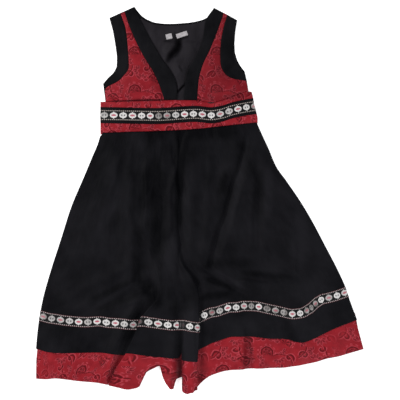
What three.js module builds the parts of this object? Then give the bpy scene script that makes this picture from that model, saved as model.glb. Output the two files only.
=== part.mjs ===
// A girl's sleeveless dirndl, laid flat on its back. Millimetres, +Z up from the table, +Y towards
// the neck. Left and right are as seen from above. Each piece that is cut and sewn is a closed wall
// of cloth, and the layers lie on each other: back, lining, front, and what is sewn on the front.
import * as THREE from 'three';

// ---- driving dimensions ----
const GAP = 0.3;            // between pieces at a seam, and between layers
const COTTON = 1.2;         // thickness of the black cloth
const BROCADE = 1.2;        // of the red bodice and waistband brocade
const HEM_BROCADE = 1;      // of the red band under the hem
const LINING = 1;
const TAPE = 1;             // of the ribbons, the black strip and the labels
const RIBBON_WIDTH = 24;
const STRIP_WIDTH = 36;
const HEM_TUCK = 15;          // how far the red band runs up under the black hem
const HEM_FOLD = 36;          // from the black hem up to the row of points over its turned edge
const PLEAT_LAYER = 5;        // from one layer of a lapped pleat to the next
const NECK_RIM = 3.5;         // black edge that shows round the lining at the neck

const seat = (...layersBelow) => layersBelow.reduce((sum, wall) => sum + wall + GAP, 0);

// ---- smooth curves through short tables ----

// A monotone cubic through the rows of a table, from one column to another.
function curve(rows, from, to) {
  const x = rows.map((row) => row[from]);
  const y = rows.map((row) => row[to]);
  const last = x.length - 1;
  const slope = x.slice(1).map((next, i) => (y[i + 1] - y[i]) / (next - x[i]));
  const tangent = x.map((_, i) => {
    if (i === 0) return slope[0];
    if (i === last) return slope[last - 1];
    const [before, after] = [slope[i - 1], slope[i]];
    return before * after <= 0 ? 0 : (2 * before * after) / (before + after);
  });
  const rising = x[last] > x[0];
  return (at) => {
    let i = 0;
    while (i < last - 1 && (rising ? at > x[i + 1] : at < x[i + 1])) i += 1;
    const step = x[i + 1] - x[i];
    const t = THREE.MathUtils.clamp((at - x[i]) / step, 0, 1);
    const [t2, t3] = [t * t, t * t * t];
    return (2 * t3 - 3 * t2 + 1) * y[i] + (t3 - 2 * t2 + t) * step * tangent[i]
      + (3 * t2 - 2 * t3) * y[i + 1] + (t3 - t2) * step * tangent[i + 1];
  };
}

const table = (columns, rows) =>
  rows.map((row) => Object.fromEntries(columns.map((name, i) => [name, row[i]])));
const mix = THREE.MathUtils.lerp;
const ease = THREE.MathUtils.smoothstep;

// ---- outlines ----

// The dress's two sides, from the shoulders to the black hem.
const ARMHOLE_LEFT = table(['y', 'x'], [
  [409.5, -203], [380, -195], [352, -190], [322, -186], [300, -186.5], [287, -193], [274, -206],
  [261, -217],
]);
const ARMHOLE_RIGHT = table(['y', 'x'], [
  [404, 84], [379, 79], [352, 76], [332, 75.5], [315, 79], [302, 86], [289, 97], [267, 106],
]);
// The back reaches a little past the right armhole band there.
const BACK_ARMHOLE_RIGHT = table(['y', 'x'], [
  [404, 84], [379, 80], [352, 78], [332, 79], [315, 84], [302, 91], [289, 101], [267, 106],
]);
const BACK_NECK = table(['x', 'y'], [
  [-147, 433.5], [-138, 421.5], [-129, 412], [-117, 404.5], [-97, 397.5], [-71, 395.5], [-28, 398],
  [0, 403], [13, 408], [23, 417], [32, 432],
]);
const SIDE_LEFT = table(['y', 'x'], [
  [152, -219], [129, -228], [98, -241], [50, -261], [-15, -288.5], [-87, -311.5], [-168, -337.5],
  [-225, -353], [-280, -362.5], [-333, -367.5],
]);
const SIDE_RIGHT = table(['y', 'x'], [
  [174, 128], [145, 141], [117, 154], [75, 172], [44, 194], [-2, 225.5], [-49, 253.5], [-103, 282],
  [-157, 310], [-197, 328], [-229, 338.5], [-268, 353],
]);
const HEM_SIDE_LEFT = table(['y', 'x'], [[-310, -363], [-338, -365], [-360, -367], [-402, -367.5]]);
const HEM_SIDE_RIGHT = table(['y', 'x'], [[-250, 341], [-271, 350], [-333, 367.5]]);
// The hems of the back, black and red, and where the red one's points lie across.
const BACK_HEM = table(['x', 'black', 'redX', 'red'], [
  [-367, -333, -365.5, -398], [-250, -325, -250, -386], [-100, -314, -89, -370], [0, -306, 20, -368],
  [100, -298, 120, -364], [200, -288, 200, -357], [300, -277, 290, -343], [352.5, -268.5, 364, -331],
]);
const WAISTBAND = table(['x', 'top', 'bottom', 'strip'], [
  [-222, 221, 151, 191], [-157, 223.5, 153.5, 189.5], [-101, 225, 155, 188.5],
  [-8, 224.5, 160, 193.5], [25, 219, 163.5, 190.5], [48, 223, 166, 193.5], [72, 232, 168.5, 201],
  [109, 244, 172.5, 209], [130, 244, 175, 212],
]);
const WAIST_SEAM = 225;     // where the seams of the front run into the waistband
const waistTop = curve(WAISTBAND, 'x', 'top');
const waistBottom = curve(WAISTBAND, 'x', 'bottom');
const stripCentre = curve(WAISTBAND, 'x', 'strip');

// ---- how high the front lies ----

// The middle of the front wall at its side seams, and how far it puffs up between them.
const AT_SIDE_SEAM = seat(COTTON) + COTTON / 2;
const OVER_LINING = seat(COTTON, LINING) + COTTON / 2;
const OVER_HEMS = seat(COTTON, HEM_BROCADE, HEM_BROCADE) + COTTON / 2;
const LYING = table(['y', 'left', 'right', 'seat', 'puff'], [
  [434, -205, 86, AT_SIDE_SEAM, 0.5],
  [418, -203, 85, AT_SIDE_SEAM, 0.5],
  [404, -202, 84, OVER_LINING, 0.6],
  [350, -190, 76, OVER_LINING, 1.5],
  [300, -187, 91, OVER_LINING, 2.5],
  [262, -217, 106, OVER_LINING, 3],
  [240, -213, 114, AT_SIDE_SEAM, 3.6],
  [190, -222, 124, AT_SIDE_SEAM, 3.4],
  [152, -221, 134, AT_SIDE_SEAM, 3],
  [98, -240, 160, AT_SIDE_SEAM, 2.6],
  [-15, -289, 230, AT_SIDE_SEAM, 2.5],
  [-168, -337, 311, AT_SIDE_SEAM, 2.5],
  [-310, -364, 360, AT_SIDE_SEAM, 2.2],
  [-434, -367.5, 367.5, AT_SIDE_SEAM, 2],
]);
const lying = Object.fromEntries(
  ['left', 'right', 'seat', 'puff'].map((name) => [name, curve(LYING, 'y', name)]),
);

// Folds of the front, each along a line from its lower end to its upper end, or from left to right.
// start and end are its height there, left and right how far it reaches on each hand, and spread
// widens it at its start.
const FOLD = ['x0', 'y0', 'x1', 'y1', 'start', 'end', 'left', 'right', 'spread'];
const FRONT_FOLDS = table(FOLD, [
  // bodice and waistband
  [-150, 245, -148, 330, 4, 1, 32, 28, 1.2],
  [42, 240, 36, 320, 4.5, 1, 28, 34, 1.2],
  [22, 150, 26, 240, -4, -3, 16, 14, 1],
  [86, 160, 80, 250, 3, 3, 24, 24, 1],
  [-232, 175, -120, 178, 1.5, 2.5, 16, 16, 1],
  // left of the skirt
  [-231, -112, -186, 73, 3, 6, 24, 8, 1.4],
  [-152, -191, -155, 113, 8, 3, 16, 9, 1.4],
  [-326, -238, -179, -168, 3, 7, 16, 9, 1],
  [-262, -250, -150, -197, -3, -3, 8, 8, 1],
  [-236, -256, -112, -198, 4, 7, 10, 12, 1],
  [-330, -400, -325, -270, 4, 3, 22, 26, 1],
  [-226, -410, -205, -300, 3.5, 2, 18, 12, 1],
  // middle
  [-124, -40, -119, 85, 5, 4, 10, 9, 1],
  [-101, -44, -99, 91, -4, -4, 10, 10, 1],
  [-76, -33, -78, 91, 4, 4, 10, 7, 1],
  [-75, -232, -65, -94, 9, 3, 15, 16, 2.2],
  [-47, -135, -47, 147, -5, -4, 8, 8, 1],
  [-6, -112, -4, 78, 7, 4, 24, 28, 1.2],
  // right of the skirt
  [20, -125, 92, 108, -4, -3, 9, 9, 1],
  [38, -122, 106, 115, 9, 5, 9, 26, 1.2],
  [135, -90, 135, 79, -4, -3, 12, 12, 1],
  [160, -62, 158, 80, 5, 4, 12, 24, 1.2],
  [196, -192, 205, -50, 6, 5, 26, 22, 1],
  [23, -166, 91, -205, 5, 5, 14, 8, 1],
  [110, -163, 192, -168, -4, -4, 10, 12, 1],
  [95, -187, 200, -200, 6, 5, 9, 20, 1],
  [88, -380, 86, -300, 5, 5, 18, 13, 1],
  [113, -380, 114, -312, -5, -4, 8, 7, 1],
  [165, -345, 150, -262, -3, -3, 14, 14, 1],
  [222, -340, 205, -250, 7, 5, 18, 22, 1],
  [305, -345, 318, -200, 5, 4, 25, 22, 1],
]);

function foldHeight(fold, x, y) {
  const [dx, dy] = [fold.x1 - fold.x0, fold.y1 - fold.y0];
  const length = Math.hypot(dx, dy);
  const along = ((x - fold.x0) * dx + (y - fold.y0) * dy) / length;
  const leftOfLine = (dx * (y - fold.y0) - dy * (x - fold.x0)) / length;
  const share = THREE.MathUtils.clamp(along / length, 0, 1);
  const beyondEnd = Math.max(-along, along - length, 0);
  const reach = (leftOfLine > 0 ? fold.left : fold.right) * mix(fold.spread, 1, share);
  const endFade = 10 + 0.12 * length;
  return mix(fold.start, fold.end, share)
    * Math.exp(-((leftOfLine / reach) ** 2) - (beyondEnd / endFade) ** 2);
}
const foldsAt = (folds, x, y) => folds.reduce((sum, fold) => sum + foldHeight(fold, x, y), 0);

// Over the skirt's hem the front also lies on the two red bands, and past the back's it comes down.
const backBlack = curve(BACK_HEM, 'x', 'black');
const backRed = curve(BACK_HEM, 'x', 'red');
const overHems = (x, y) => (OVER_HEMS - AT_SIDE_SEAM)
  * ease(backBlack(x) + HEM_TUCK + 45 - y, 0, 40) * ease(y - backRed(x), -22, -3);

function frontHeight(x, y) {
  const across = (x - lying.left(y)) / (lying.right(y) - lying.left(y));
  const fullness = Math.max(0, 1 - Math.abs(2 * across - 1) ** 6);
  const risen = Math.max(0, lying.puff(y) + foldsAt(FRONT_FOLDS, x, y));
  return lying.seat(y) + overHems(x, y) + fullness * risen;
}

// ---- from sheets of points to walls of cloth ----

// sheet[row][column] is the middle of the wall, rows running down the dress and columns to the right.
const sheetOf = (rows, columns, point) =>
  Array.from({ length: rows }, (_, j) => Array.from({ length: columns }, (_, i) => point(i, j)));

function sheetNormals(sheet) {
  const [lastRow, lastColumn] = [sheet.length - 1, sheet[0].length - 1];
  return sheetOf(lastRow + 1, lastColumn + 1, (i, j) => {
    const right = sheet[j][Math.min(i + 1, lastColumn)].clone().sub(sheet[j][Math.max(i - 1, 0)]);
    const down = sheet[Math.min(j + 1, lastRow)][i].clone().sub(sheet[Math.max(j - 1, 0)][i]);
    return down.cross(right).normalize();
  });
}

// The same sheet, moved out of the cloth by a distance.
function movedOut(sheet, distance) {
  const normals = sheetNormals(sheet);
  return sheetOf(sheet.length, sheet[0].length, (i, j) =>
    sheet[j][i].clone().addScaledVector(normals[j][i], distance));
}

function wallOf(sheet, thickness) {
  const [rows, columns] = [sheet.length, sheet[0].length];
  const faces = [...movedOut(sheet, thickness / 2).flat(), ...movedOut(sheet, -thickness / 2).flat()];
  const upper = (i, j) => j * columns + i;
  const lower = (i, j) => rows * columns + upper(i, j);
  const index = [];
  const quad = (a, b, c, d) => index.push(a, b, c, a, c, d);
  for (let j = 0; j < rows - 1; j += 1) {
    for (let i = 0; i < columns - 1; i += 1) {
      quad(upper(i, j), upper(i, j + 1), upper(i + 1, j + 1), upper(i + 1, j));
      quad(lower(i, j), lower(i + 1, j), lower(i + 1, j + 1), lower(i, j + 1));
    }
    quad(upper(0, j), lower(0, j), lower(0, j + 1), upper(0, j + 1));
    quad(upper(columns - 1, j), upper(columns - 1, j + 1), lower(columns - 1, j + 1), lower(columns - 1, j));
  }
  for (let i = 0; i < columns - 1; i += 1) {
    quad(upper(i, 0), upper(i + 1, 0), lower(i + 1, 0), lower(i, 0));
    quad(upper(i, rows - 1), lower(i, rows - 1), lower(i + 1, rows - 1), upper(i + 1, rows - 1));
  }
  return new THREE.BufferGeometry().setFromPoints(faces).setIndex(index);
}

// A flat piece that lies on the table, cut along an outline.
function flatPiece(outline, thickness) {
  return new THREE.ExtrudeGeometry(new THREE.Shape(outline), { depth: thickness, bevelEnabled: false });
}

const dress = new THREE.Group();
const FINISH = {
  black: { color: 0x17181c, roughness: 0.9 },
  brocade: { color: 0x9a2430, roughness: 0.6 },
  lining: { color: 0x302d33, roughness: 0.45 },
  ribbon: { color: 0xa9a6a8, roughness: 0.6 },
  label: { color: 0xb9b4b6, roughness: 0.8 },
};

function sew(name, geometry, finish) {
  geometry.computeVertexNormals();
  const piece = new THREE.Mesh(geometry, new THREE.MeshStandardMaterial({ ...FINISH[finish], metalness: 0 }));
  piece.name = name;
  dress.add(piece);
}

// ---- bodice ----

// Seams of the front: neck is the V edge, cup the seam between neckband and cup, band the seam
// between cup and armhole band.
const SEAMS = {
  left: {
    neck: table(['y', 'x'], [
      [433.5, -147], [405, -133], [355, -107], [317, -85], [294, -68], [262, -53], [244, -51],
      [WAIST_SEAM, -53],
    ]),
    cup: table(['y', 'x'], [
      [422.5, -169], [383, -155], [327, -128], [293, -107], [266, -94], [WAIST_SEAM, -83],
    ]),
    band: table(['y', 'x'], [
      [419, -178], [383, -166], [338, -161], [298, -159], [282, -168], [266, -184], [253, -209],
      [248, -212.5], [222, -211.5],
    ]),
    armhole: ARMHOLE_LEFT,
    rows: table(['armhole', 'band'], [
      [409.5, 419], [395, 401], [380, 383], [362, 361], [344, 338], [326, 318], [311, 302], [300, 291],
      [291, 282], [284, 274], [277, 266], [270, 259], [265, 253], [261, 248],
    ]),
    side: [235, 222.5],
  },
  right: {
    neck: table(['y', 'x'], [
      [432, 32], [401, 12.5], [370, 8.5], [325, -8], [288, -28], [276, -32], [253, -35],
      [WAIST_SEAM, -38],
    ]),
    cup: table(['y', 'x'], [[420.5, 54], [383, 41], [338, 23], [304, 7], [271, -2], [WAIST_SEAM, -6]]),
    band: table(['y', 'x'], [
      [416.5, 62], [382, 52], [350, 47], [327, 46], [309, 46.5], [297, 49], [287, 54], [280, 60],
      [275, 68], [271, 80], [267, 104.5], [255, 110], [244, 116.5],
    ]),
    armhole: ARMHOLE_RIGHT,
    rows: table(['armhole', 'band'], [
      [404, 416.5], [391, 400], [378, 382], [364, 362], [350, 343], [336, 325], [322, 309], [311, 297],
      [303, 287], [297, 280], [292, 275], [288, 271], [284, 267],
    ]),
    side: [258, 250, 244.5],
  },
};

const pointsAt = (rows, heights) => {
  const x = curve(rows, 'y', 'x');
  return heights.map((y) => new THREE.Vector2(x(y), y));
};
const evenly = (from, to, count) => Array.from({ length: count }, (_, i) => mix(from, to, i / (count - 1)));

// Half a seam's gap to one hand of an edge that runs down: -1 is left, 1 is right.
function besideSeam(points, hand) {
  return points.map((point, i) => {
    const next = points[Math.min(i + 1, points.length - 1)];
    const along = next.clone().sub(points[Math.max(i - 1, 0)]).normalize();
    return point.clone().add(new THREE.Vector2(-along.y, along.x).multiplyScalar((hand * GAP) / 2));
  });
}

const frontPoint = (x, y) => new THREE.Vector3(x, y, frontHeight(x, y));

// A front panel between two edges that run down. One that reaches the waistband is cut along its top.
function frontPanel(leftEdge, rightEdge, columns, reachesWaist) {
  return sheetOf(leftEdge.length, columns, (i, j) => {
    const at = leftEdge[j].clone().lerp(rightEdge[j], i / (columns - 1));
    if (reachesWaist && j === leftEdge.length - 1) at.y = waistTop(at.x) + GAP / 2;
    return frontPoint(at.x, at.y);
  });
}

const BAND_COLUMNS = 3;
const CUP_COLUMNS = 7;
const waistStations = [];

for (const side of ['left', 'right']) {
  const { neck, cup, band, armhole, rows, side: sideRows } = SEAMS[side];
  const bandHeights = [...rows.map((row) => row.band), ...sideRows];
  const bandSeam = pointsAt(band, bandHeights);
  const cupSeam = pointsAt(cup, evenly(cup[0].y, WAIST_SEAM, bandHeights.length));
  const neckEdge = pointsAt(neck, evenly(neck[0].y, WAIST_SEAM, bandHeights.length));
  const armholeEdge = pointsAt(armhole, rows.map((row) => row.armhole));
  const armholeSeam = bandSeam.slice(0, rows.length);
  // From the middle of the dress outwards, the hand that each seam's neighbour lies on.
  const outward = side === 'left' ? -1 : 1;
  const between = (inner, outer, columns, reachesWaist) =>
    side === 'left'
      ? frontPanel(outer, inner, columns, reachesWaist)
      : frontPanel(inner, outer, columns, reachesWaist);

  const neckband = between(neckEdge, besideSeam(cupSeam, -outward), BAND_COLUMNS, true);
  const front = between(besideSeam(cupSeam, outward), besideSeam(bandSeam, -outward), CUP_COLUMNS, true);
  const armholeBand = between(besideSeam(armholeSeam, outward), armholeEdge, BAND_COLUMNS, false);
  sew(`neckband_${side}`, wallOf(neckband, COTTON), 'black');
  sew(`front_cup_${side}`, wallOf(front, BROCADE), 'brocade');
  sew(`armhole_band_${side}`, wallOf(armholeBand, COTTON), 'black');
  waistStations.push(...[neckband, front].flatMap((sheet) => sheet.at(-1).map((point) => point.x)));
}

// Where the columns of the bodice end on the waist seam. The pieces on both sides of the seam have
// them, so that their edges run side by side.
const bodiceStations = waistStations
  .sort((a, b) => a - b)
  .filter((x, i, all) => i === 0 || x - all[i - 1] > 1);

const backNeck = curve(BACK_NECK, 'x', 'y');
const backArmholeRight = pointsAt(BACK_ARMHOLE_RIGHT, [404, 379, 352, 340, 326, 313, 302, 292, 282, 267]);
sew('back_bodice', flatPiece([
  ...pointsAt(ARMHOLE_LEFT, SEAMS.left.rows.map((row) => row.armhole)).reverse(),
  ...BACK_NECK.map(({ x, y }) => new THREE.Vector2(x, y)),
  ...backArmholeRight,
  ...bodiceStations.map((x) => new THREE.Vector2(x, waistTop(x) + GAP / 2)).reverse(),
], COTTON), 'black');

// The lining hangs from just under the neck edge, and shows in the V and past the right armhole.
const LINING_SIDES = table(['share', 'leftX', 'leftY', 'rightX', 'rightY'], [
  [0, -131, 409, 18, 408],
  [0.15, -150, 388, 44, 392],
  [0.3, -166, 358, 66, 366],
  [0.42, -174, 330, 77, 334],
  [0.52, -174, 306, 82.5, 315],
  [0.62, -178, 288, 91, 299],
  [0.7, -190, 276, 97, 288],
  [0.8, -198, 258, 95, 270],
  [1, -199, 224, 96, 244],
]);
const liningSide = Object.fromEntries(['leftX', 'leftY', 'rightX', 'rightY']
  .map((name) => [name, curve(LINING_SIDES, 'share', name)]));
const LINING_FOLDS = table(FOLD, [
  [-52, 296, -14, 372, 5, 3.5, 7, 15, 1],
  [-92, 322, -108, 372, 3, 3, 10, 9, 1],
  [-44, 238, -40, 292, 3.5, 3, 5, 8, 1],
]);
const vLeft = curve(SEAMS.left.neck, 'y', 'x');
const vRight = curve(SEAMS.right.neck, 'y', 'x');
const LABEL_LEVEL = 360;

function liningHeight(x, y) {
  const insideV = Math.min(x - vLeft(y), vRight(y) - x);
  const free = ease(insideV, 1, 12) * (1 - ease(y, LABEL_LEVEL - 10, LABEL_LEVEL));
  return seat(COTTON) + LINING / 2 + free * Math.max(0, foldsAt(LINING_FOLDS, x, y));
}

const LINING_GRID = 15;
const neckRim = (x) => backNeck(x) - NECK_RIM * Math.hypot(1, (backNeck(x + 1) - backNeck(x - 1)) / 2);
const lining = sheetOf(LINING_GRID, LINING_GRID, (i, j) => {
  const [u, v] = [i / (LINING_GRID - 1), j / (LINING_GRID - 1)];
  const x = mix(liningSide.leftX(v), liningSide.rightX(v), u);
  const y = mix(liningSide.leftY(v), liningSide.rightY(v), u);
  const topX = mix(liningSide.leftX(0), liningSide.rightX(0), u);
  const bottomX = mix(liningSide.leftX(1), liningSide.rightX(1), u);
  const neckDip = neckRim(topX) - mix(liningSide.leftY(0), liningSide.rightY(0), u);
  const waistDip = waistTop(bottomX) + GAP - mix(liningSide.leftY(1), liningSide.rightY(1), u);
  const at = y + (1 - v) * neckDip + v * waistDip;
  return new THREE.Vector3(x, at, liningHeight(x, at));
});
sew('back_lining', wallOf(lining, LINING), 'lining');

// Two bare neck labels, sewn flat on the lining under the back of the neck.
const LABELS = table(['name', 'x', 'y', 'width', 'depth', 'tilt'], [
  ['label_large', -40, 371.5, 26, 10.5, 18],
  ['label_small', -69, 367.5, 14, 12, 12],
]);
for (const { name, x, y, width, depth, tilt } of LABELS) {
  const label = new THREE.BoxGeometry(width, depth, TAPE);
  label.rotateZ(THREE.MathUtils.degToRad(tilt));
  label.translate(x, y, seat(COTTON, LINING) + TAPE / 2);
  sew(name, label, 'label');
}

// ---- waistband ----

const WAIST_LEFT = -223;
const WAIST_RIGHT = table(['y', 'x'], [
  [244, 116.5], [230, 119.8], [213, 122.5], [200, 126], [181, 130], [174, 130],
]);
const waistRight = curve(WAIST_RIGHT, 'y', 'x');
const topRight = WAIST_RIGHT[0].x;
const stations = [WAIST_LEFT, ...bodiceStations];
const waistRows = [
  (x) => waistTop(x) - GAP / 2,
  (x) => stripCentre(x) + STRIP_WIDTH / 2,
  (x) => stripCentre(x) + RIBBON_WIDTH / 2,
  (x) => stripCentre(x) - RIBBON_WIDTH / 2,
  (x) => stripCentre(x) - STRIP_WIDTH / 2,
  (x) => waistBottom(x) + GAP / 2,
];
const waistband = sheetOf(waistRows.length, stations.length, (i, j) => {
  const share = (stations[i] - WAIST_LEFT) / (topRight - WAIST_LEFT);
  const widening = j === 0 ? 0 : waistRight(waistRows[j](stations[i])) - topRight;
  const x = stations[i] + share * widening;
  return frontPoint(x, waistRows[j](x));
});
const STRIP_OUT = BROCADE / 2 + GAP + TAPE / 2;
const RIBBON_OUT = STRIP_OUT + TAPE + GAP;
sew('waistband_front', wallOf(waistband, BROCADE), 'brocade');
sew('waist_strip_front', wallOf(movedOut(waistband, STRIP_OUT).slice(1, 5), TAPE), 'black');
sew('waist_ribbon_front', wallOf(movedOut(waistband, RIBBON_OUT).slice(2, 4), TAPE), 'ribbon');

const backSeam = [100, 60, 20, -30, -101, -160];
sew('waistband_back', flatPiece([
  ...stations.map((x) => new THREE.Vector2(x, waistTop(x) - GAP / 2)),
  ...WAIST_RIGHT.slice(1, -1).map(({ x, y }) => new THREE.Vector2(x, y)),
  ...[WAIST_RIGHT.at(-1).x, ...backSeam, WAIST_LEFT]
    .map((x) => new THREE.Vector2(x, waistBottom(x) + GAP / 2)),
], BROCADE), 'brocade');

// ---- skirt ----

// The skirt front is laid in three lapped pleats. over is the hand whose cloth lies on top. Going
// down the skirt, that cloth rises from one height, starts to lap at the next, and is laid at the last.
const PLEATS = [
  {
    over: 'right', lap: 14, rises: -110, laps: -200, laid: -262,
    line: table(['y', 'x'], [
      [156, -107], [79, -112], [23, -121], [-33, -128], [-78, -123], [-123, -112], [-179, -99],
      [-221, -101], [-241, -115], [-265, -131.5], [-285, -139.5], [-343, -167], [-371, -185],
      [-409, -204],
    ]),
  },
  {
    over: 'right', lap: 10, rises: -190, laps: -300, laid: -340,
    line: table(['y', 'x'], [
      [156, -76], [91, -79], [-33, -80], [-94, -73], [-157, -56], [-224, -43], [-281, -40],
      [-425, -41],
    ]),
  },
  {
    over: 'left', lap: 16, rises: -60, laps: -182, laid: -222,
    line: table(['y', 'x'], [
      [160, -47], [79, -47], [-89, -44], [-139, -34], [-173, -12], [-202, -1.5], [-300, -1.5],
      [-362, -5], [-414, -4],
    ]),
  },
];
const TURN_POINTS = 6;
const FLAT_PLEAT = 14;      // width that a pleat takes where it isn't lapped
const PLEAT_RISE = 2 * PLEAT_LAYER;

for (const pleat of PLEATS) pleat.at = curve(pleat.line, 'y', 'x');

// Point k of the six that carry a pleat from its left to its right, at a height y of the dress:
// x across it, and lift above the cloth under it.
function pleatPoint(pleat, k, y) {
  const risen = 1 - ease(y, pleat.laps, pleat.rises);
  const lapped = 1 - ease(y, pleat.laid, pleat.laps);
  const r = PLEAT_LAYER / 2;
  const folded = [
    [-r, PLEAT_RISE], [0, PLEAT_RISE - r], [-r, PLEAT_RISE - 2 * r],
    [r - pleat.lap, PLEAT_RISE - 2 * r], [-pleat.lap, PLEAT_RISE - 3 * r], [r - pleat.lap, 0],
  ];
  const turn = pleat.over === 'left' ? k : TURN_POINTS - 1 - k;
  const down = turn / (TURN_POINTS - 1);
  const hand = pleat.over === 'left' ? 1 : -1;
  const flatX = hand * (down - 0.5) * FLAT_PLEAT;
  return {
    x: pleat.at(y) + mix(flatX, hand * folded[turn][0], lapped),
    lift: risen * mix(PLEAT_RISE * (1 - down), folded[turn][1], lapped),
  };
}

// The columns of the skirt front: each run lies between two pleats, or a pleat and a side. share is
// how far across its run a column is. black and red are the heights of the two hems there, and
// ribbon is how far the ribbon's middle lies above the black one.
const COLUMN = ['share', 'black', 'red', 'ribbon'];
const RUNS = [
  table(COLUMN, [
    [0, -333, -401, 74], [0.12, -340.5, -402, 75], [0.24, -342.8, -400, 73.3], [0.37, -342.8, -402.5, 70.2],
    [0.53, -341.8, -406.5, 69.8], [0.65, -341.5, -408, 67], [0.79, -344, -410, 67.4],
    [0.92, -347, -414.5, 68],
  ]),
  table(COLUMN, [
    [0.1, -343, -419, 71.3], [0.24, -346, -424, 72.2], [0.36, -348, -421, 73.2],
    [0.408, -349, -415.5, 73.5], [0.45, -350, -386.5, 73.8], [0.53, -351, -378, 74],
    [0.62, -352, -371.5, 74], [0.713, -353, -403, 74], [0.8, -354, -421.5, 74],
    [0.855, -354, -423, 74], [0.88, -354, -402, 74], [0.935, -350, -399, 70],
  ]),
  table(COLUMN, [[0.2, -359, -432.5, 78.6], [0.45, -360, -433.5, 78.1], [0.8, -361, -429, 77.4]]),
  table(COLUMN, [
    [0.05, -333.5, -411.5, 72], [0.11, -321.5, -394, 69.5], [0.17, -313.5, -386, 66],
    [0.235, -306, -381, 65.5], [0.306, -305.5, -379, 67.5], [0.38, -306.5, -378, 69],
    [0.453, -310, -377, 67], [0.53, -311, -376.5, 62.5], [0.58, -312, -374, 59],
    [0.62, -316.8, -372, 62], [0.665, -318.7, -368.5, 65.6], [0.73, -311.6, -363, 68.6],
    [0.79, -300.5, -355.5, 72], [0.857, -288.5, -350.5, 68.7], [0.92, -279.5, -343.5, 65.2],
    [1, -268.5, -334.5, 63],
  ]),
];
// The same heights on the two sides of each lap.
const LAPS = [
  table(COLUMN, [[0, -348, -415.5, 68], [1, -342, -415.5, 71]]),
  table(COLUMN, [[0, -350, -396, 70], [1, -358, -429, 79]]),
  table(COLUMN, [[0, -361.5, -421, 77], [1, -350, -431, 73]]),
];

// The columns of pleat number r, with their heights graded from one side of its lap to the other.
const pleatColumns = (r) => Array.from({ length: TURN_POINTS }, (_, k) => {
  const [before, after] = LAPS[r];
  const graded = (name) => mix(before[name], after[name], k / (TURN_POINTS - 1));
  return { pleat: PLEATS[r], k, black: graded('black'), red: graded('red'), ribbon: graded('ribbon') };
});
const skirtColumns = RUNS.flatMap((run, r) => [
  ...run.map((row) => ({ run: r, ...row })),
  ...(r < PLEATS.length ? pleatColumns(r) : []),
]);

const edgePoint = (side) => (y) => ({ x: side(y), lift: 0 });

// Where a column is at a height y of the dress, between the two given sides.
function columnPoint(column, y, sides) {
  const { pleat, k, run, share } = column;
  if (pleat) return pleatPoint(pleat, k, y);
  const from = run === 0 ? edgePoint(sides.left)(y) : pleatPoint(PLEATS[run - 1], TURN_POINTS - 1, y);
  const to = run === PLEATS.length ? edgePoint(sides.right)(y) : pleatPoint(PLEATS[run], 0, y);
  return { x: mix(from.x, to.x, share), lift: mix(from.lift, to.lift, ease(share, 0, 1)) };
}

const skirtSides = { left: curve(SIDE_LEFT, 'y', 'x'), right: curve(SIDE_RIGHT, 'y', 'x') };
const hemSides = { left: curve(HEM_SIDE_LEFT, 'y', 'x'), right: curve(HEM_SIDE_RIGHT, 'y', 'x') };

function skirtPoint(column, y, sides) {
  const { x, lift } = columnPoint(column, y, sides);
  return new THREE.Vector3(x, y, frontHeight(x, y) + lift);
}

// Rows from the waist seam to the black hem: the lowest lie at known distances above the hem.
const rowsAboveHem = ({ ribbon }) =>
  [ribbon + RIBBON_WIDTH / 2, ribbon - RIBBON_WIDTH / 2, HEM_FOLD, HEM_TUCK, 0];
const UPPER_ROWS = 12;
const skirtTop = (column) => {
  const roughly = waistBottom(columnPoint(column, waistBottom(0), skirtSides).x);
  return waistBottom(columnPoint(column, roughly, skirtSides).x) - GAP / 2;
};
const skirt = sheetOf(UPPER_ROWS + rowsAboveHem({}).length, skirtColumns.length, (i, j) => {
  const column = skirtColumns[i];
  const lowest = rowsAboveHem(column).map((above) => column.black + above);
  const y = j < UPPER_ROWS ? mix(skirtTop(column), lowest[0], j / UPPER_ROWS) : lowest[j - UPPER_ROWS];
  return skirtPoint(column, y, skirtSides);
});
sew('skirt_front', wallOf(skirt, COTTON), 'black');

const SKIRT_RIBBON_OUT = COTTON / 2 + GAP + TAPE / 2;
const skirtRibbon = movedOut(skirt, SKIRT_RIBBON_OUT).slice(UPPER_ROWS, UPPER_ROWS + 2);
sew('skirt_ribbon_front', wallOf(skirtRibbon, TAPE), 'ribbon');

// The red band under the hem: its top is the skirt's own lowest rows, moved in, and the rest follows
// the same pleats and folds.
const HEM_IN = COTTON / 2 + GAP + HEM_BROCADE / 2;
const HEM_SHARES = [1 / 3, 2 / 3, 1];
const hemBand = [
  ...skirt.slice(-2),
  ...sheetOf(HEM_SHARES.length, skirtColumns.length, (i, j) => {
    const { black, red } = skirtColumns[i];
    return skirtPoint(skirtColumns[i], mix(black, red, HEM_SHARES[j]), hemSides);
  }),
];
sew('hem_front', wallOf(movedOut(hemBand, -HEM_IN), HEM_BROCADE), 'brocade');

// ---- back of the skirt ----

const backTop = [SIDE_RIGHT[0].x, ...backSeam, SIDE_LEFT[0].x];
sew('skirt_back', flatPiece([
  ...backTop.map((x) => new THREE.Vector2(x, waistBottom(x) - GAP / 2)).reverse(),
  ...SIDE_RIGHT.slice(1, -1).map(({ x, y }) => new THREE.Vector2(x, y)),
  ...BACK_HEM.map(({ x, black }) => new THREE.Vector2(x, black)).reverse(),
  ...SIDE_LEFT.slice(1, -1).map(({ x, y }) => new THREE.Vector2(x, y)).reverse(),
], COTTON), 'black');
const hemBack = flatPiece([
  ...BACK_HEM.map(({ x, black }) => new THREE.Vector2(x * 0.99, black + HEM_TUCK)),
  ...BACK_HEM.map(({ x, redX, red }) => new THREE.Vector2(redX, red)).reverse(),
], HEM_BROCADE);
hemBack.translate(0, 0, seat(COTTON));
sew('hem_back', hemBack, 'brocade');

export default dress;
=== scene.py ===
"""A girl's sleeveless dirndl, laid flat on its back on a pale table and seen from straight above."""
import math

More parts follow.
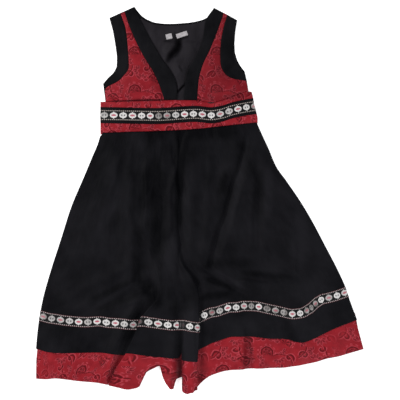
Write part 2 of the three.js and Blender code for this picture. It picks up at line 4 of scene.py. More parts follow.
import bpy
import numpy as np
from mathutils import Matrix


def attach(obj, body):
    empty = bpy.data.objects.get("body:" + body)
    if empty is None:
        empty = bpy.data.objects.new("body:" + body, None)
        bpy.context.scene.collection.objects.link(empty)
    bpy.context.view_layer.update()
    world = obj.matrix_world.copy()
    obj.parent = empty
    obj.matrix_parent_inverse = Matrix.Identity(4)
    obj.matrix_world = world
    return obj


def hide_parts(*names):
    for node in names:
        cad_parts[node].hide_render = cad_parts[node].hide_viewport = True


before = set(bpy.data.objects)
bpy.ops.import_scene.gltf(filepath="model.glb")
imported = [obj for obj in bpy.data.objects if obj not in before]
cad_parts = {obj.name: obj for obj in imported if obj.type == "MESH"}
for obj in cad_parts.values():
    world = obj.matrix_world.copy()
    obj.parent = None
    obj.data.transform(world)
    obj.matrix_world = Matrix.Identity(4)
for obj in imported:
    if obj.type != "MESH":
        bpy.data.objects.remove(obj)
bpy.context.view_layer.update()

# ---- table, camera and light -------------------------------------------------------------------
# The dress lies on a pale table of opal glass, lit from within, so that it takes hardly any shadow. The
# camera hangs straight over it, with the neck at the top. A large soft lamp stands to the upper left, a
# weaker one at the lower right, and the room is pale.

VIEW_WIDTH = 0.899
VIEW_CENTRE = (0.0006, 0.0004)
CAMERA_HEIGHT = 2.6
SENSOR = 36

camera = bpy.data.objects.new("camera", bpy.data.cameras.new("camera"))
camera.data.sensor_width = SENSOR
camera.data.lens = SENSOR * CAMERA_HEIGHT / VIEW_WIDTH
camera.location = (*VIEW_CENTRE, CAMERA_HEIGHT)
bpy.context.scene.collection.objects.link(camera)
bpy.context.scene.camera = camera
bpy.context.scene.view_settings.view_transform = "Standard"


def lamp(name, place, size, watts, colour):
    """A square soft box that shines at the middle of the table."""
    light = bpy.data.lights.new(name, "AREA")
    light.size = size
    light.energy = watts
    light.color = colour
    box = bpy.data.objects.new(name, light)
    box.location = place
    box.rotation_euler = (-box.location).to_track_quat("-Z", "Y").to_euler()
    bpy.context.scene.collection.objects.link(box)


lamp("soft_box_left", (-3.4, 1.6, 2.8), 1.5, 215, (1.0, 0.99, 0.98))
lamp("soft_box_foot", (1.9, -2.3, 2.3), 1.8, 80, (0.97, 0.98, 1.0))

room = bpy.data.worlds.new("pale_room")
room.use_nodes = True
glow = room.node_tree.nodes["Background"].inputs
glow["Color"].default_value = (0.96, 0.98, 1.0, 1)
glow["Strength"].default_value = 0.42
bpy.context.scene.world = room


class Number:
    """A value that varies over a surface. Arithmetic on it adds Math nodes to its finish."""

    def __init__(self, finish, socket):
        self.finish = finish
        self.socket = socket

    def __add__(self, other):
        return self.finish.maths("ADD", self, other)

    def __radd__(self, other):
        return self.finish.maths("ADD", other, self)

    def __sub__(self, other):
        return self.finish.maths("SUBTRACT", self, other)

    def __rsub__(self, other):
        return self.finish.maths("SUBTRACT", other, self)

    def __mul__(self, other):
        return self.finish.maths("MULTIPLY", self, other)

    def __rmul__(self, other):
        return self.finish.maths("MULTIPLY", other, self)

    def __truediv__(self, other):
        return self.finish.maths("DIVIDE", self, other)

    def __abs__(self):
        return self.finish.maths("ABSOLUTE", self)

    def __pow__(self, other):
        return self.finish.maths("POWER", self, other)

    def at_least(self, other):
        return self.finish.maths("MAXIMUM", self, other)

    def at_most(self, other):
        return self.finish.maths("MINIMUM", self, other)

    def wave(self, pitch):
        """A sine between -1 and 1 that repeats at a pitch."""
        return self.finish.maths("SINE", self * (2 * math.pi / pitch))

    def within(self, edge, soft):
        """1 where the value is under an edge and 0 where it is over, with a soft step between."""
        node = self.finish.node(
            "ShaderNodeMapRange",
            {"interpolation_type": "SMOOTHSTEP"},
            {"Value": self, "From Min": edge - soft, "From Max": edge + soft, "To Min": 1.0, "To Max": 0.0})
        return Number(self.finish, node.outputs[0])


class Finish:
    """A material: one Principled shader, with constants on its sockets and varying values linked."""

    def __init__(self, name, **constants):
        self.name = name
        self.material = bpy.data.materials.new(name)
        self.material.use_nodes = True
        self.tree = self.material.node_tree
        self.shader = self.tree.nodes["Principled BSDF"]
        for socket, value in constants.items():
            self.shader.inputs[socket.replace("_", " ")].default_value = value

    def node(self, kind, settings, values):
        """Any node, from its type, its settings, and a value or a link for each of its sockets."""
        node = self.tree.nodes.new(kind)
        for setting, value in settings.items():
            setattr(node, setting, value)
        for socket, value in values.items():
            self.feed(node.inputs[socket], value)
        return node

    def feed(self, socket, value):
        if isinstance(value, Number):
            value = value.socket
        if isinstance(value, bpy.types.NodeSocket):
            self.tree.links.new(value, socket)
        else:
            socket.default_value = value

    def maths(self, operation, *values):
        node = self.node("ShaderNodeMath", {"operation": operation}, dict(enumerate(values)))
        return Number(self, node.outputs[0])

    def cloth(self):
        """Where a point is on the cloth, across and along, in millimetres, and as a vector."""
        place = self.node("ShaderNodeUVMap", {"uv_map": "cloth"}, {}).outputs[0]
        parts = self.node("ShaderNodeSeparateXYZ", {}, {0: place}).outputs
        return Number(self, parts[0]) * 1000, Number(self, parts[1]) * 1000, place

    def spot(self):
        """Where a point lies on the table, across and along, in millimetres."""
        place = self.node("ShaderNodeTexCoord", {}, {}).outputs["Object"]
        parts = self.node("ShaderNodeSeparateXYZ", {}, {0: place}).outputs
        return Number(self, parts[0]) * 1000, Number(self, parts[1]) * 1000

    def along(self, spot, start, end, reach):
        """1 on a straight line between two places, fading to 0 at its reach and towards its ends."""
        (across, up), (x0, y0), (x1, y1) = spot, start, end
        length = math.hypot(x1 - x0, y1 - y0)
        way_x, way_y = (x1 - x0) / length, (y1 - y0) / length
        ahead = across * way_x + up * way_y - ((x0 + x1) * way_x + (y0 + y1) * way_y) / 2
        aside = across * way_y - up * way_x - (x0 * way_y - y0 * way_x)
        beyond = (abs(ahead) - length / 4).at_least(0.0) * (reach / (length / 4 + reach))
        return (1 - (aside * aside + beyond * beyond) * (1 / reach ** 2)).at_least(0.0) ** 2.0

    def noise(self, place, size, detail=2.0, rough=0.5, stretch=(1, 1, 1)):
        """Smooth unevenness whose lumps are about as wide as size, in millimetres."""
        scale = [1000 / size * s for s in stretch]
        moved = self.node("ShaderNodeVectorMath", {"operation": "MULTIPLY"}, {0: place, 1: scale}).outputs[0]
        values = {"Vector": moved, "Scale": 1.0, "Detail": detail, "Roughness": rough}
        return Number(self, self.node("ShaderNodeTexNoise", {}, values).outputs[0])

    def blend(self, share, first, second):
        """A colour from the first to the second."""
        values = {0: share, 6: first, 7: second}
        return self.node("ShaderNodeMix", {"data_type": "RGBA", "clamp_factor": True}, values).outputs[2]

    def relief(self, height, depth):
        """Bump, with height from 0 to 1 for a depth in millimetres. Later calls go on top of earlier ones."""
        values = {"Height": height, "Strength": 1.0, "Distance": depth / 1000}
        below = self.shader.inputs["Normal"]
        if below.is_linked:
            values["Normal"] = below.links[0].from_socket
        self.feed(below, self.node("ShaderNodeBump", {}, values).outputs[0])

    def show(self, socket, value):
        """Gives one of the shader's sockets a value that varies."""
        self.feed(self.shader.inputs[socket], value)


TABLE_SIZE = 8
TABLE_LEVEL = -0.0003

table_top = Finish("pale_table", Roughness=0.8, Specular_IOR_Level=0.1,
                   Emission_Color=(1, 1, 1, 1), Emission_Strength=0.55)
table_grain = table_top.node("ShaderNodeTexCoord", {}, {}).outputs["Object"]
table_top.show("Base Color", table_top.blend(
    table_top.noise(table_grain, 60, 4.0), (0.90, 0.90, 0.905, 1), (0.93, 0.93, 0.93, 1)))
bpy.ops.mesh.primitive_plane_add(size=TABLE_SIZE, location=(0, 0, TABLE_LEVEL))
table = bpy.context.object
table.name = "table"
table.data.materials.append(table_top.material)

# ---- back of the bodice ------------------------------------------------------------------------
# One panel of matt black cotton with both shoulder straps. It is sewn to the front along the
# shoulders and sides, and lies flat on the table under everything else.

# Lengths are in millimetres from here on: the gap between layers of cloth, and the cotton's thickness.
GAP = 0.3
COTTON = 1.2


def rows_of(names, rows):
    """A short table by columns."""
    return {name: np.array(column, float) for name, column in zip(names.split(), zip(*rows))}


def curve(rows, along, of):
    """A smooth line through a table that never overshoots its rows."""
    x, y = rows[along], rows[of]
    if x[0] > x[-1]:
        x, y = x[::-1], y[::-1]
    slope = np.diff(y) / np.diff(x)
    before, after = slope[:-1], slope[1:]
    rising_on = before * after > 0
    inner = np.where(rising_on, 2 * before * after / np.where(rising_on, before + after, 1), 0)
    tangent = np.concatenate([slope[:1], inner, slope[-1:]])

    def at(value):
        value = np.asarray(value, float)
        i = np.clip(np.searchsorted(x, value, side="right") - 1, 0, len(x) - 2)
        step = x[i + 1] - x[i]
        t = np.clip((value - x[i]) / step, 0, 1)
        return ((2 * t**3 - 3 * t**2 + 1) * y[i] + (t**3 - 2 * t**2 + t) * step * tangent[i]
                + (3 * t**2 - 2 * t**3) * y[i + 1] + (t**3 - t**2) * step * tangent[i + 1])

    return at


def mix(low, high, share):
    """From low at share 0 to high at share 1."""
    return low + (high - low) * share


def ease(value, low, high):
    """A smooth step from 0 at low to 1 at high."""
    share = np.clip((value - low) / (high - low), 0, 1)
    return share * share * (3 - 2 * share)


def paired(x, y):
    """Points, from their places across and along."""
    return np.stack([x, y], axis=1)


def along_line(points, count):
    """Evenly spaced points on the line through some corners."""
    points = np.array(points, float)
    run = np.concatenate([[0], np.cumsum(np.hypot(*np.diff(points, axis=0).T))])
    at = np.linspace(0, run[-1], count)
    return paired(np.interp(at, run, points[:, 0]), np.interp(at, run, points[:, 1]))


def spread(top, foot, left, right, columns, rows):
    """A net of points that fills four edge lines, with rows across it and columns down it."""
    top, foot = along_line(top, columns), along_line(foot, columns)
    left, right = along_line(left, rows), along_line(right, rows)
    u = np.linspace(0, 1, columns)[None, :, None]
    v = np.linspace(0, 1, rows)[:, None, None]
    across = mix(left[:, None], right[:, None], u)
    down = mix(top[None], foot[None], v)
    corners = mix(mix(top[0], top[-1], u), mix(foot[0], foot[-1], u), v)
    return across + down - corners


def normals_of(middle):
    """Which way is out of the cloth at each point of a net."""
    right = np.gradient(middle, axis=1)
    down = np.gradient(middle, axis=0)
    up = np.cross(down, right)
    return up / np.linalg.norm(up, axis=2, keepdims=True)


def moved_out(middle, distance):
    """The same net, a distance out from the cloth."""
    return middle + normals_of(middle) * distance


RIM = 0.42  # how far an edge is rounded in, as a share of the cloth's thickness


def wall(name, middle, thickness, finish, cloth=None):
    """A closed wall of cloth with rounded edges, from the net of points in its middle."""
    rows, columns = middle.shape[:2]
    if cloth is None:
        cloth = middle[..., :2]
    inner = middle.copy()
    whole = slice(None)
    for edge, next_in in (((0,), (1,)), ((-1,), (-2,)), ((whole, 0), (whole, 1)), ((whole, -1), (whole, -2))):
        inward = middle[next_in] - middle[edge]
        length = np.linalg.norm(inward, axis=-1, keepdims=True)
        inner[edge] += inward * np.minimum(0.45, thickness * RIM / length)
    out = normals_of(middle) * thickness / 2
    number = np.arange(rows * columns).reshape(rows, columns)
    border = np.concatenate([number[:, 0], number[-1, 1:], number[-2::-1, -1], number[0, -2:0:-1]])
    flat_middle = middle.reshape(-1, 3)
    points = np.concatenate([(inner + out).reshape(-1, 3), (inner - out).reshape(-1, 3), flat_middle[border]])
    flat_cloth = cloth.reshape(-1, 2)
    spots = np.concatenate([flat_cloth, flat_cloth, flat_cloth[border]])
    top = np.stack([number[:-1, :-1], number[1:, :-1], number[1:, 1:], number[:-1, 1:]], axis=-1)
    top = top.reshape(-1, 4)
    under = top[:, ::-1] + rows * columns
    edge = np.arange(len(border)) + 2 * rows * columns
    after, edge_after = np.roll(border, -1), np.roll(edge, -1)
    upper_rim = np.stack([border, edge, edge_after, after], axis=1)
    lower_rim = np.stack([edge, border + rows * columns, after + rows * columns, edge_after], axis=1)
    faces = np.concatenate([top, under, upper_rim, lower_rim])
    mesh = bpy.data.meshes.new(name)
    mesh.from_pydata((points / 1000).tolist(), [], faces.tolist())
    corners = np.zeros(len(mesh.loops), int)
    mesh.loops.foreach_get("vertex_index", corners)
    mesh.uv_layers.new(name="cloth").data.foreach_set("uv", (spots[corners] / 1000).ravel())
    mesh.polygons.foreach_set("use_smooth", [True] * len(mesh.polygons))
    mesh.update()
    mesh.materials.append(finish.material)
    piece = bpy.data.objects.new(name, mesh)
    bpy.context.scene.collection.objects.link(piece)
    return piece


def cloth_area(middle):
    """Square metres of a net of points given in millimetres."""
    sides = np.cross(middle[1:, 1:] - middle[:-1, :-1], middle[1:, :-1] - middle[:-1, 1:])
    return float(np.linalg.norm(sides, axis=2).sum() / 2e6)


def sew(node, middle, thickness, finish, cloth=None):
    """Makes the piece that stands for a node: its wall of cloth. The cloth's area is worked out but not kept.
    """
    piece = wall(node + "_cloth", middle, thickness, finish, cloth)
    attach(piece, "root")
    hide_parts(node)
    cloth_area(middle)
    return piece


def cotton(name, colour, lighter, thread, painted_shades=()):
    """Plain-woven black cotton: fine threads, slight slubs, and a dusty cast that varies at random.

    Each painted shade is a line on the table along which the shade or light of the folds is painted into the
    colour, with its reach and how much.
    """
    finish = Finish(name, Specular_IOR_Level=0.03, Sheen_Weight=0.02, Sheen_Roughness=0.4,
                    Sheen_Tint=(0.7, 0.74, 0.85, 1))
    u, v, place = finish.cloth()
    clouds = finish.noise(place, 90, 3.0, 0.6)
    slubs = finish.noise(place, 7, 3.0, 0.6, (1, 0.22, 1))
    bloom_and_painted_light = (clouds * 0.86 + slubs * 0.14 - 0.27) * 2
    spot = finish.spot()
    # Painted shade and light: each line darkens or lightens the colour along a fold, on top of the random
    # dusty tone.
    for x0, y0, x1, y1, reach, amount in painted_shades:
        bloom_and_painted_light = bloom_and_painted_light + finish.along(spot, (x0, y0), (x1, y1), reach) * amount
    finish.show("Base Color", finish.blend(bloom_and_painted_light.at_least(0.0), colour, lighter))
    finish.show("Roughness", 0.52 + clouds * 0.16)
    weave = u.wave(thread) * v.wave(thread)
    finish.relief(finish.noise(place, 34, 3.0, 0.55, (1.0, 0.55, 1)), 1.1)
    finish.relief(slubs, 0.12)
    finish.relief(weave * 0.5 + 0.5, 0.05)
    return finish


black_cotton = cotton("black_cotton", (0.0008, 0.0008, 0.0012, 1), (0.0088, 0.0086, 0.0102, 1), 0.9)

ARMHOLE_LEFT = rows_of("y x", [
    (409.5, -203), (380, -195), (352, -190), (322, -186), (300, -186.5), (287, -193), (274, -206),
    (261, -217)])
ARMHOLE_RIGHT = rows_of("y x", [
    (404, 84), (379, 79), (352, 76), (332, 75.5), (315, 79), (302, 86), (289, 97), (267, 106)])
BACK_ARMHOLE_RIGHT = rows_of("y x", [
    (404, 84), (379, 80), (352, 78), (332, 79), (315, 84), (302, 91), (289, 101), (267, 106)])
BACK_NECK = rows_of("x y", [
    (-147, 433.5), (-138, 421.5), (-129, 412), (-117, 404.5), (-97, 397.5), (-71, 395.5), (-28, 398),
    (0, 403), (13, 408), (23, 417), (32, 432)])
WAISTBAND = rows_of("x top bottom strip", [
    (-222, 221, 151, 191), (-157, 223.5, 153.5, 189.5), (-101, 225, 155, 188.5), (-8, 224.5, 160, 193.5),
    (25, 219, 163.5, 190.5), (48, 223, 166, 193.5), (72, 232, 168.5, 201), (109, 244, 172.5, 209),
    (130, 244, 175, 212)])
waist_top = curve(WAISTBAND, "x", "top")
waist_bottom = curve(WAISTBAND, "x", "bottom")
strip_centre = curve(WAISTBAND, "x", "strip")
WAIST_LEFT = -223
WAIST_TOP_RIGHT = 116.5
SHOULDER_LEFT, SHOULDER_RIGHT = (-203, 408), (84, 404)
BODICE_LEFT = -211.6
BODICE_RIGHT = 110
BACK_SEAM_DROP = 3
BACK_COLUMNS, BACK_ROWS = 140, 90
EDGE_POINTS = 60  # how many points follow a curved edge


def folds_of(rows):
    """Folds, each a line with its height at its start and end, its reach to the left and right of that
    line, and how much wider it is at its start."""
    return rows_of("x0 y0 x1 y1 start end left right spread", rows)


def fold_height(folds, x, y):
    """How much a table of folds lifts the cloth. Each line wavers a little, and fades at its ends."""
    total = np.zeros(np.broadcast(x, y).shape)
    for x0, y0, x1, y1, start, end, left, right, spread_out in zip(*folds.values()):
        dx, dy = x1 - x0, y1 - y0
        length = math.hypot(dx, dy)
        along = ((x - x0) * dx + (y - y0) * dy) / length
        aside = (dx * (y - y0) - dy * (x - x0)) / length
        aside = aside + 1.6 * np.sin(along / 19 + x0) + 0.8 * np.sin(along / 8.5 + y0)
        share = np.clip(along / length, 0, 1)
        beyond = np.maximum(np.maximum(-along, along - length), 0)
        reach = np.where(aside > 0, left, right) * mix(spread_out, 1, share)
        fade = 10 + 0.12 * length
        total += mix(start, end, share) * np.exp(-((aside / reach) ** 2) - (beyond / fade) ** 2)
    return total


def level_at(net, height):
    """A flat net at one height."""
    return np.dstack([net, np.full(net.shape[:2], height)])


def back_waist(x):
    """The back's waist seam lies a little lower than the front's, so that no light comes through both."""
    return waist_top(x) - BACK_SEAM_DROP


def bodice_side(armhole, x):
    """The armhole's edge and the side seam under it, down to the waist seam."""
    return np.append(paired(armhole["x"], armhole["y"]), [(x, back_waist(x) + GAP / 2)], axis=0)


back_neck = curve(BACK_NECK, "x", "y")
neck_x = np.linspace(BACK_NECK["x"][0], BACK_NECK["x"][-1], EDGE_POINTS)
back_head = np.concatenate([[SHOULDER_LEFT], paired(neck_x, back_neck(neck_x)), [SHOULDER_RIGHT]])
bodice_x = np.linspace(BODICE_LEFT, BODICE_RIGHT, EDGE_POINTS)
back_net = spread(
    back_head, paired(bodice_x, back_waist(bodice_x) + GAP / 2),
    bodice_side(ARMHOLE_LEFT, BODICE_LEFT), bodice_side(BACK_ARMHOLE_RIGHT, BODICE_RIGHT),
    BACK_COLUMNS, BACK_ROWS)
sew("back_bodice", level_at(back_net, COTTON / 2), COTTON, black_cotton)

# ---- lining of the back ------------------------------------------------------------------------
# Dark grey satin, caught at the neck seam and loose below it. It shows in the V, with soft creases
# that run down to a tuck near the bottom, and peeps out past the right armhole.

LINING = 1.0
NECK_RIM = 3.5
LABEL_LEVEL = 360

satin = Finish("lining_satin", Anisotropic=0.3, Specular_IOR_Level=0.035)
satin_u, satin_v, satin_place = satin.cloth()
satin_clouds = satin.noise(satin_place, 26, 3.0, 0.55, (1, 0.6, 1))
satin_tone = satin.blend((satin_clouds - 0.3) * 2, (0.0104, 0.0092, 0.0112, 1), (0.0188, 0.0168, 0.0200, 1))
# Hardly any light arrives deep in the hollow under the labels, nor in the slit at the foot of the V.
HOLLOWS = [
    (-56, 376, -54, 359, 6, 0.5), (-46, 366, -49, 346, 12, 0.85), (-48, 352, -55, 334, 14, 0.85),
    (-52, 340, -68, 324, 12, 0.85), (-64, 328, -73, 312, 9, 0.8), (-53, 239, -34, 260.5, 4.5, 1.0),
    (-47, 302, -40, 289, 4.5, 0.5), (-81, 357, -66, 357, 4.5, 0.5), (-44, 361, -26, 368, 5, 0.6)]
gloom = 0.0
for x0, y0, x1, y1, reach, depth in HOLLOWS:
    gloom = gloom + satin.along((satin_u, satin_v), (x0, y0), (x1, y1), reach) * depth * (1.0 - gloom)
satin.show("Base Color", satin.blend(gloom, satin_tone, (0.0010, 0.0008, 0.0012, 1)))
satin.show("Roughness", 0.52 + satin_clouds * 0.15 + gloom * 0.3)
satin.relief(satin.noise(satin_place, 17, 4.0, 0.6, (1.3, 0.5, 1)), 1.0)
satin.relief(satin.noise(satin_place, 1.4, 1.0, 0.5, (0.3, 3, 1)), 0.04)

V_LEFT = rows_of("y x", [
    (433.5, -147), (405, -133), (355, -107), (317, -85), (294, -68), (262, -53), (244, -51), (225, -53)])
V_RIGHT = rows_of("y x", [
    (432, 32), (401, 12.5), (370, 8.5), (325, -8), (288, -28), (276, -31), (253, -33.5), (225, -36.5)])
v_left = curve(V_LEFT, "y", "x")
v_right = curve(V_RIGHT, "y", "x")

LINING_SIDES = rows_of("share left_x left_y right_x right_y", [
    (0, -131, 409, 18, 408), (0.15, -150, 388, 44, 392), (0.3, -166, 358, 66, 366),
    (0.42, -174, 330, 77, 334), (0.52, -174, 306, 82.5, 315), (0.62, -178, 288, 91, 299),
    (0.7, -190, 276, 97, 288), (0.8, -198, 258, 95, 270), (1, -199, 224, 96, 244)])
LINING_FOLDS = folds_of([
    # the ridges along the hollow that runs down from the labels in a zigzag
    (-64, 328, -51, 343, 6, 6, 18, 4.5, 1), (-51, 343, -46, 362, 5, 4, 14, 4, 1),
    (-73, 315, -64, 328, 2.5, 6, 14, 4.5, 1), (-30, 300, -16, 352, 3.0, 4.0, 22, 18, 1),
    (-46, 262, -50, 300, 2.0, 2.5, 10, 9, 1),
    # the short slit over the foot of the V
    (-51.5, 240.5, -36.5, 260, 2.4, 2.4, 9, 2, 1),
    # finer creases
    (-92, 340, -84, 372, 0.8, 0.7, 4, 5, 1), (-24, 322, -6, 352, 0.9, 0.7, 5, 6, 1),
    (-58, 268, -44, 288, 1.2, 0.8, 5, 2.5, 1), (-40, 280, -30, 318, 0.8, 0.7, 4, 4, 1)])


def lining_height(x, y):
    """The middle of the lining: held flat at the neck and under the edges of the V, and loose between."""
    inside = np.minimum(x - v_left(y), v_right(y) - x)
    free = ease(inside, 0.5, mix(5, 12, ease(y, 270, 310))) * (1 - ease(y, LABEL_LEVEL - 10, LABEL_LEVEL))
    return COTTON + GAP + LINING / 2 + free * np.maximum(0, fold_height(LINING_FOLDS, x, y))


LINING_COLUMNS, LINING_ROWS = 140, 110
share = np.linspace(0, 1, LINING_ROWS)
lining_left, lining_right = [
    paired(curve(LINING_SIDES, "share", side + "_x")(share), curve(LINING_SIDES, "share", side + "_y")(share))
    for side in ("left", "right")]
lining_net = mix(
    lining_left[:, None], lining_right[:, None], np.linspace(0, 1, LINING_COLUMNS)[None, :, None])
top_x, foot_x = lining_net[0, :, 0], lining_net[-1, :, 0]
neck_slope = (back_neck(top_x + 1) - back_neck(top_x - 1)) / 2
neck_dip = back_neck(top_x) - NECK_RIM * np.hypot(1, neck_slope) - lining_net[0, :, 1]
waist_dip = back_waist(foot_x) + GAP - lining_net[-1, :, 1]
lining_net[..., 1] += mix(neck_dip[None], waist_dip[None], share[:, None])
back_lining = np.dstack([lining_net, lining_height(lining_net[..., 0], lining_net[..., 1])])
sew("back_lining", back_lining, LINING, satin)

# ---- neck labels -------------------------------------------------------------------------------
# Two short lengths of pale woven tape, sewn flat to the lining under the back of the neck. They are
# left bare.

LABEL_TAPE = 1.0
LABEL_COLUMNS, LABEL_ROWS = 27, 13

tape = Finish("label_tape", Roughness=0.78, Sheen_Weight=0.15, Specular_IOR_Level=0.25)
_, tape_v, tape_place = tape.cloth()
tape_worn = tape.noise(tape_place, 5, 3.0, 0.6)
tape.show("Base Color", tape.blend(
    (tape_worn - 0.25) * 2, (0.24, 0.225, 0.235, 1), (0.42, 0.395, 0.405, 1)))
tape.relief(tape_worn, 0.5)
tape.relief(tape_v.wave(0.7) * 0.5 + 0.5, 0.05)

LABELS = [("label_large", -40, 371.5, 26, 10.5, 18), ("label_small", -69, 367.5, 14, 12, 12)]
for node, x, y, width, depth, tilt in LABELS:
    across, down = np.meshgrid(
        np.linspace(-width / 2, width / 2, LABEL_COLUMNS), np.linspace(depth / 2, -depth / 2, LABEL_ROWS))
    turn = math.radians(tilt)
    label_x = x + across * math.cos(turn) - down * math.sin(turn)
    label_y = y + across * math.sin(turn) + down * math.cos(turn)
    curl = 0.35 * (2 * across / width) ** 2 + 0.15 * np.sin(across * 0.6 + x)
    level = COTTON + GAP + LINING + GAP + LABEL_TAPE / 2 + np.maximum(0, curl)
    sew(node, np.dstack([label_x, label_y, level]), LABEL_TAPE, tape,
        cloth=np.dstack([across, down]))

# ---- back of the waistband ---------------------------------------------------------------------
# Red jacquard, with light and dark shells, leaves and tendrils on a satin ground. It is seamed to the
# bodice above, the skirt below, and the front of the band at the sides.

BROCADE = 1.2
FIGURE_WIDTH = 92
FIGURE_DROP = 84
WEAVE_DRIFT = 14  # how far the figure strays from its straight repeat
FAR = 1000  # keeps every place on the cloth above 0

brocade = Finish("red_brocade", Specular_IOR_Level=0.1, Sheen_Weight=0.02, Sheen_Roughness=0.35,
                 Sheen_Tint=(1.0, 0.55, 0.55, 1))
cloth_u, cloth_v, cloth_place = brocade.cloth()
wander_u = brocade.noise(cloth_place, 46, 2.0) - 0.5
wander_v = brocade.noise(cloth_place, 41, 2.0, 0.5, (1.0, 1.13, 1)) - 0.5
repeat = (cloth_u + wander_u * WEAVE_DRIFT + FAR) / FIGURE_WIDTH
column = brocade.maths("FLOOR", repeat)
figure_u = (repeat - column - 0.5) * FIGURE_WIDTH
rise = (cloth_v + wander_v * WEAVE_DRIFT + FAR) / FIGURE_DROP + brocade.maths("MODULO", column, 2.0) * 0.5
figure_v = (rise - brocade.maths("FLOOR", rise) - 0.5) * FIGURE_DROP


def around(x, y, turn):
    """How far a point is ahead of a place in the figure, how far away from it, and at what angle."""
    across, up = figure_u - x, figure_v - y
    c, s = math.cos(math.radians(turn)), math.sin(math.radians(turn))
    ahead, aside = across * c + up * s, up * c - across * s
    return ahead, (ahead * ahead + aside * aside) ** 0.5, brocade.maths("ARCTAN2", aside, ahead)


# Each shape is drawn as 1 where its weave is light, -1 where it is dark, and 0 on the plain ground.
def fan(x, y, radius, turn):
    """A shell: a scalloped rim and an inner ring, dark ribs inside them, and pearls outside."""
    ahead, away, angle = around(x, y, turn)
    front = 1 - ahead.within(-0.25 * radius, 2.0)
    drawn = abs(away - radius - (angle * 9).wave(2 * math.pi) * 0.6).within(0.95, 0.7)
    drawn = drawn + abs(away - radius * 0.66).within(0.7, 0.6) * 0.7
    pearls = 0.9 - (angle * 11).wave(2 * math.pi).within(0.0, 0.6)
    drawn = drawn + abs(away - radius - 4.2).within(1.2, 0.6) * pearls
    drawn = drawn - abs(away - radius * 0.82).within(radius * 0.15, 1.2)
    ribs = 1 - (angle * 6).wave(2 * math.pi).within(-0.1, 0.6)
    return (drawn - abs(away - radius * 0.34).within(radius * 0.3, 1.4) * ribs) * front


def scroll(x, y, radius, turn, hand):
    """A tendril that winds inward by one turn, with a shadow inside it."""
    _, away, angle = around(x, y, turn)
    apart = away - radius - angle * (hand * 1.6)
    return abs(apart).within(0.95, 0.7) - abs(apart + 3.0).within(1.7, 0.9)


def vine(x, y, radius, turn):
    """A quarter of a large ring: a light stem with a shadow under it."""
    _, away, angle = around(x, y, turn)
    stem = abs(away - radius).within(0.8, 0.7) - abs(away - radius + 2.4).within(1.0, 0.9)
    return stem * abs(angle).within(0.85, 0.12)


def palmette(x, y, size, turn):
    """Five pointed leaves that spread from one place, each with a light outline and vein."""
    nearest = None
    for step in (-76, -38, 0, 38, 76):
        spoke = math.radians(turn + step)
        c, s = math.cos(spoke), math.sin(spoke)
        across, up = figure_u - (x + size * c), figure_v - (y + size * s)
        along, aside = across * c + up * s, abs(up * c - across * s)
        inside = 1 - (abs(along) * (1.33 / size)) ** 1.6 - aside * (3.2 / size)
        inside = inside.at_most(aside * (4.5 / size) + 0.05)
        nearest = inside if nearest is None else nearest.at_least(inside)
    outline = (1 - nearest.within(-0.25, 0.25)) * nearest.within(0.3, 0.25)
    return outline * 2 - (1 - nearest.within(-0.2, 0.5)) * 1.2


# One repeat of the figure: places from its middle, sizes, and turns in degrees.
FANS = [(-19, -15, 15.5, 90), (24, 10, 14, 50)]
SCROLLS = [(-29, 21, 9, 0, 1), (31, -27, 8.5, 150, -1), (8, 36, 6, 200, 1)]
PALMETTES = [(-3, 11, 9.5, 75), (8, -26, 9, -80), (34, 33, 8, 30), (-38, -33, 8.5, 20), (-19, -13, 5.5, 90),
             (-10, 31, 8, 165), (14, -9, 6.5, -45)]
VINES = [(8, -48, 34, 65), (46, 44, 34, -130), (-48, 40, 26, -30)]
figure = 0.0
for shape, rows in ((fan, FANS), (scroll, SCROLLS), (vine, VINES), (palmette, PALMETTES)):
    for row in rows:
        figure = shape(*row) + figure
figure = figure * (1 - brocade.noise(cloth_place, 72, 1.0).within(0.36, 0.09))
light_lines = figure.at_least(0.0).at_most(1.0)
dark_shapes = (0 - figure).at_least(0.0).at_most(1.0)
sateen = brocade.noise(cloth_place, 19, 3.0, 0.55)
fibre = brocade.noise(cloth_place, 2.2, 2.0, 0.6, (1.6, 0.6, 1))
ground = brocade.blend((sateen - 0.3) * 2.2, (0.176, 0.0063, 0.0112, 1), (0.266, 0.0112, 0.0178, 1))
shaded = brocade.blend(dark_shapes, ground, (0.085, 0.0018, 0.0045, 1))
lit = brocade.blend(light_lines * 0.74, shaded, (0.38, 0.044, 0.062, 1))
# Painted shade: the bodice is painted darker than the waistband and the hem, and its right side darker still.
painted_bodice_shade = (1 - cloth_v.within(232, 12)) * (0.22 + (1 - cloth_u.within(-20, 30)) * 0.5)
lit = brocade.blend(painted_bodice_shade, lit, brocade.blend(0.5, lit, (0.045, 0.0015, 0.0045, 1)))
# Painted shade in the folds of the hem and the cups, and along the seam over the waistband, darkens the red.
PAINTED_RED_SHADES = [
    (-45, -318, -45, -430, 14, 0.9), (109, -290, 119, -376, 9, 0.45), (100, -290, 107, -380, 18, 0.22),
    (-176, -330, -206, -420, 15, 0.32), (4, -300, 12, -440, 14, 0.25), (62, 360, 48, 270, 26, 0.35),
    (-128, 330, -84, 228, 14, 0.3), (12, 226, 112, 234, 12, 0.35), (-216, 221.5, -60, 225, 3, 0.9),
    (-170, 226, 40, 226, 3, 0.5)]
spot = brocade.spot()
for x0, y0, x1, y1, reach, amount in PAINTED_RED_SHADES:
    painted_red_shade = brocade.along(spot, (x0, y0), (x1, y1), reach) * amount
    lit = brocade.blend(painted_red_shade, lit, (0.022, 0.0008, 0.0024, 1))
brocade.show("Base Color", brocade.blend((fibre - 0.5) * 0.6, lit, (0.13, 0.006, 0.010, 1)))
brocade.show("Roughness", 0.44 + sateen * 0.14 + light_lines * 0.1)
brocade.relief(brocade.noise(cloth_place, 30, 3.0, 0.55), 1.2)
brocade.relief(light_lines * 0.7 + 0.3 - dark_shapes * 0.3, 0.6)
brocade.relief(fibre, 0.12)
brocade.relief(cloth_u.wave(0.8) * cloth_v.wave(0.8) * 0.5 + 0.5, 0.04)

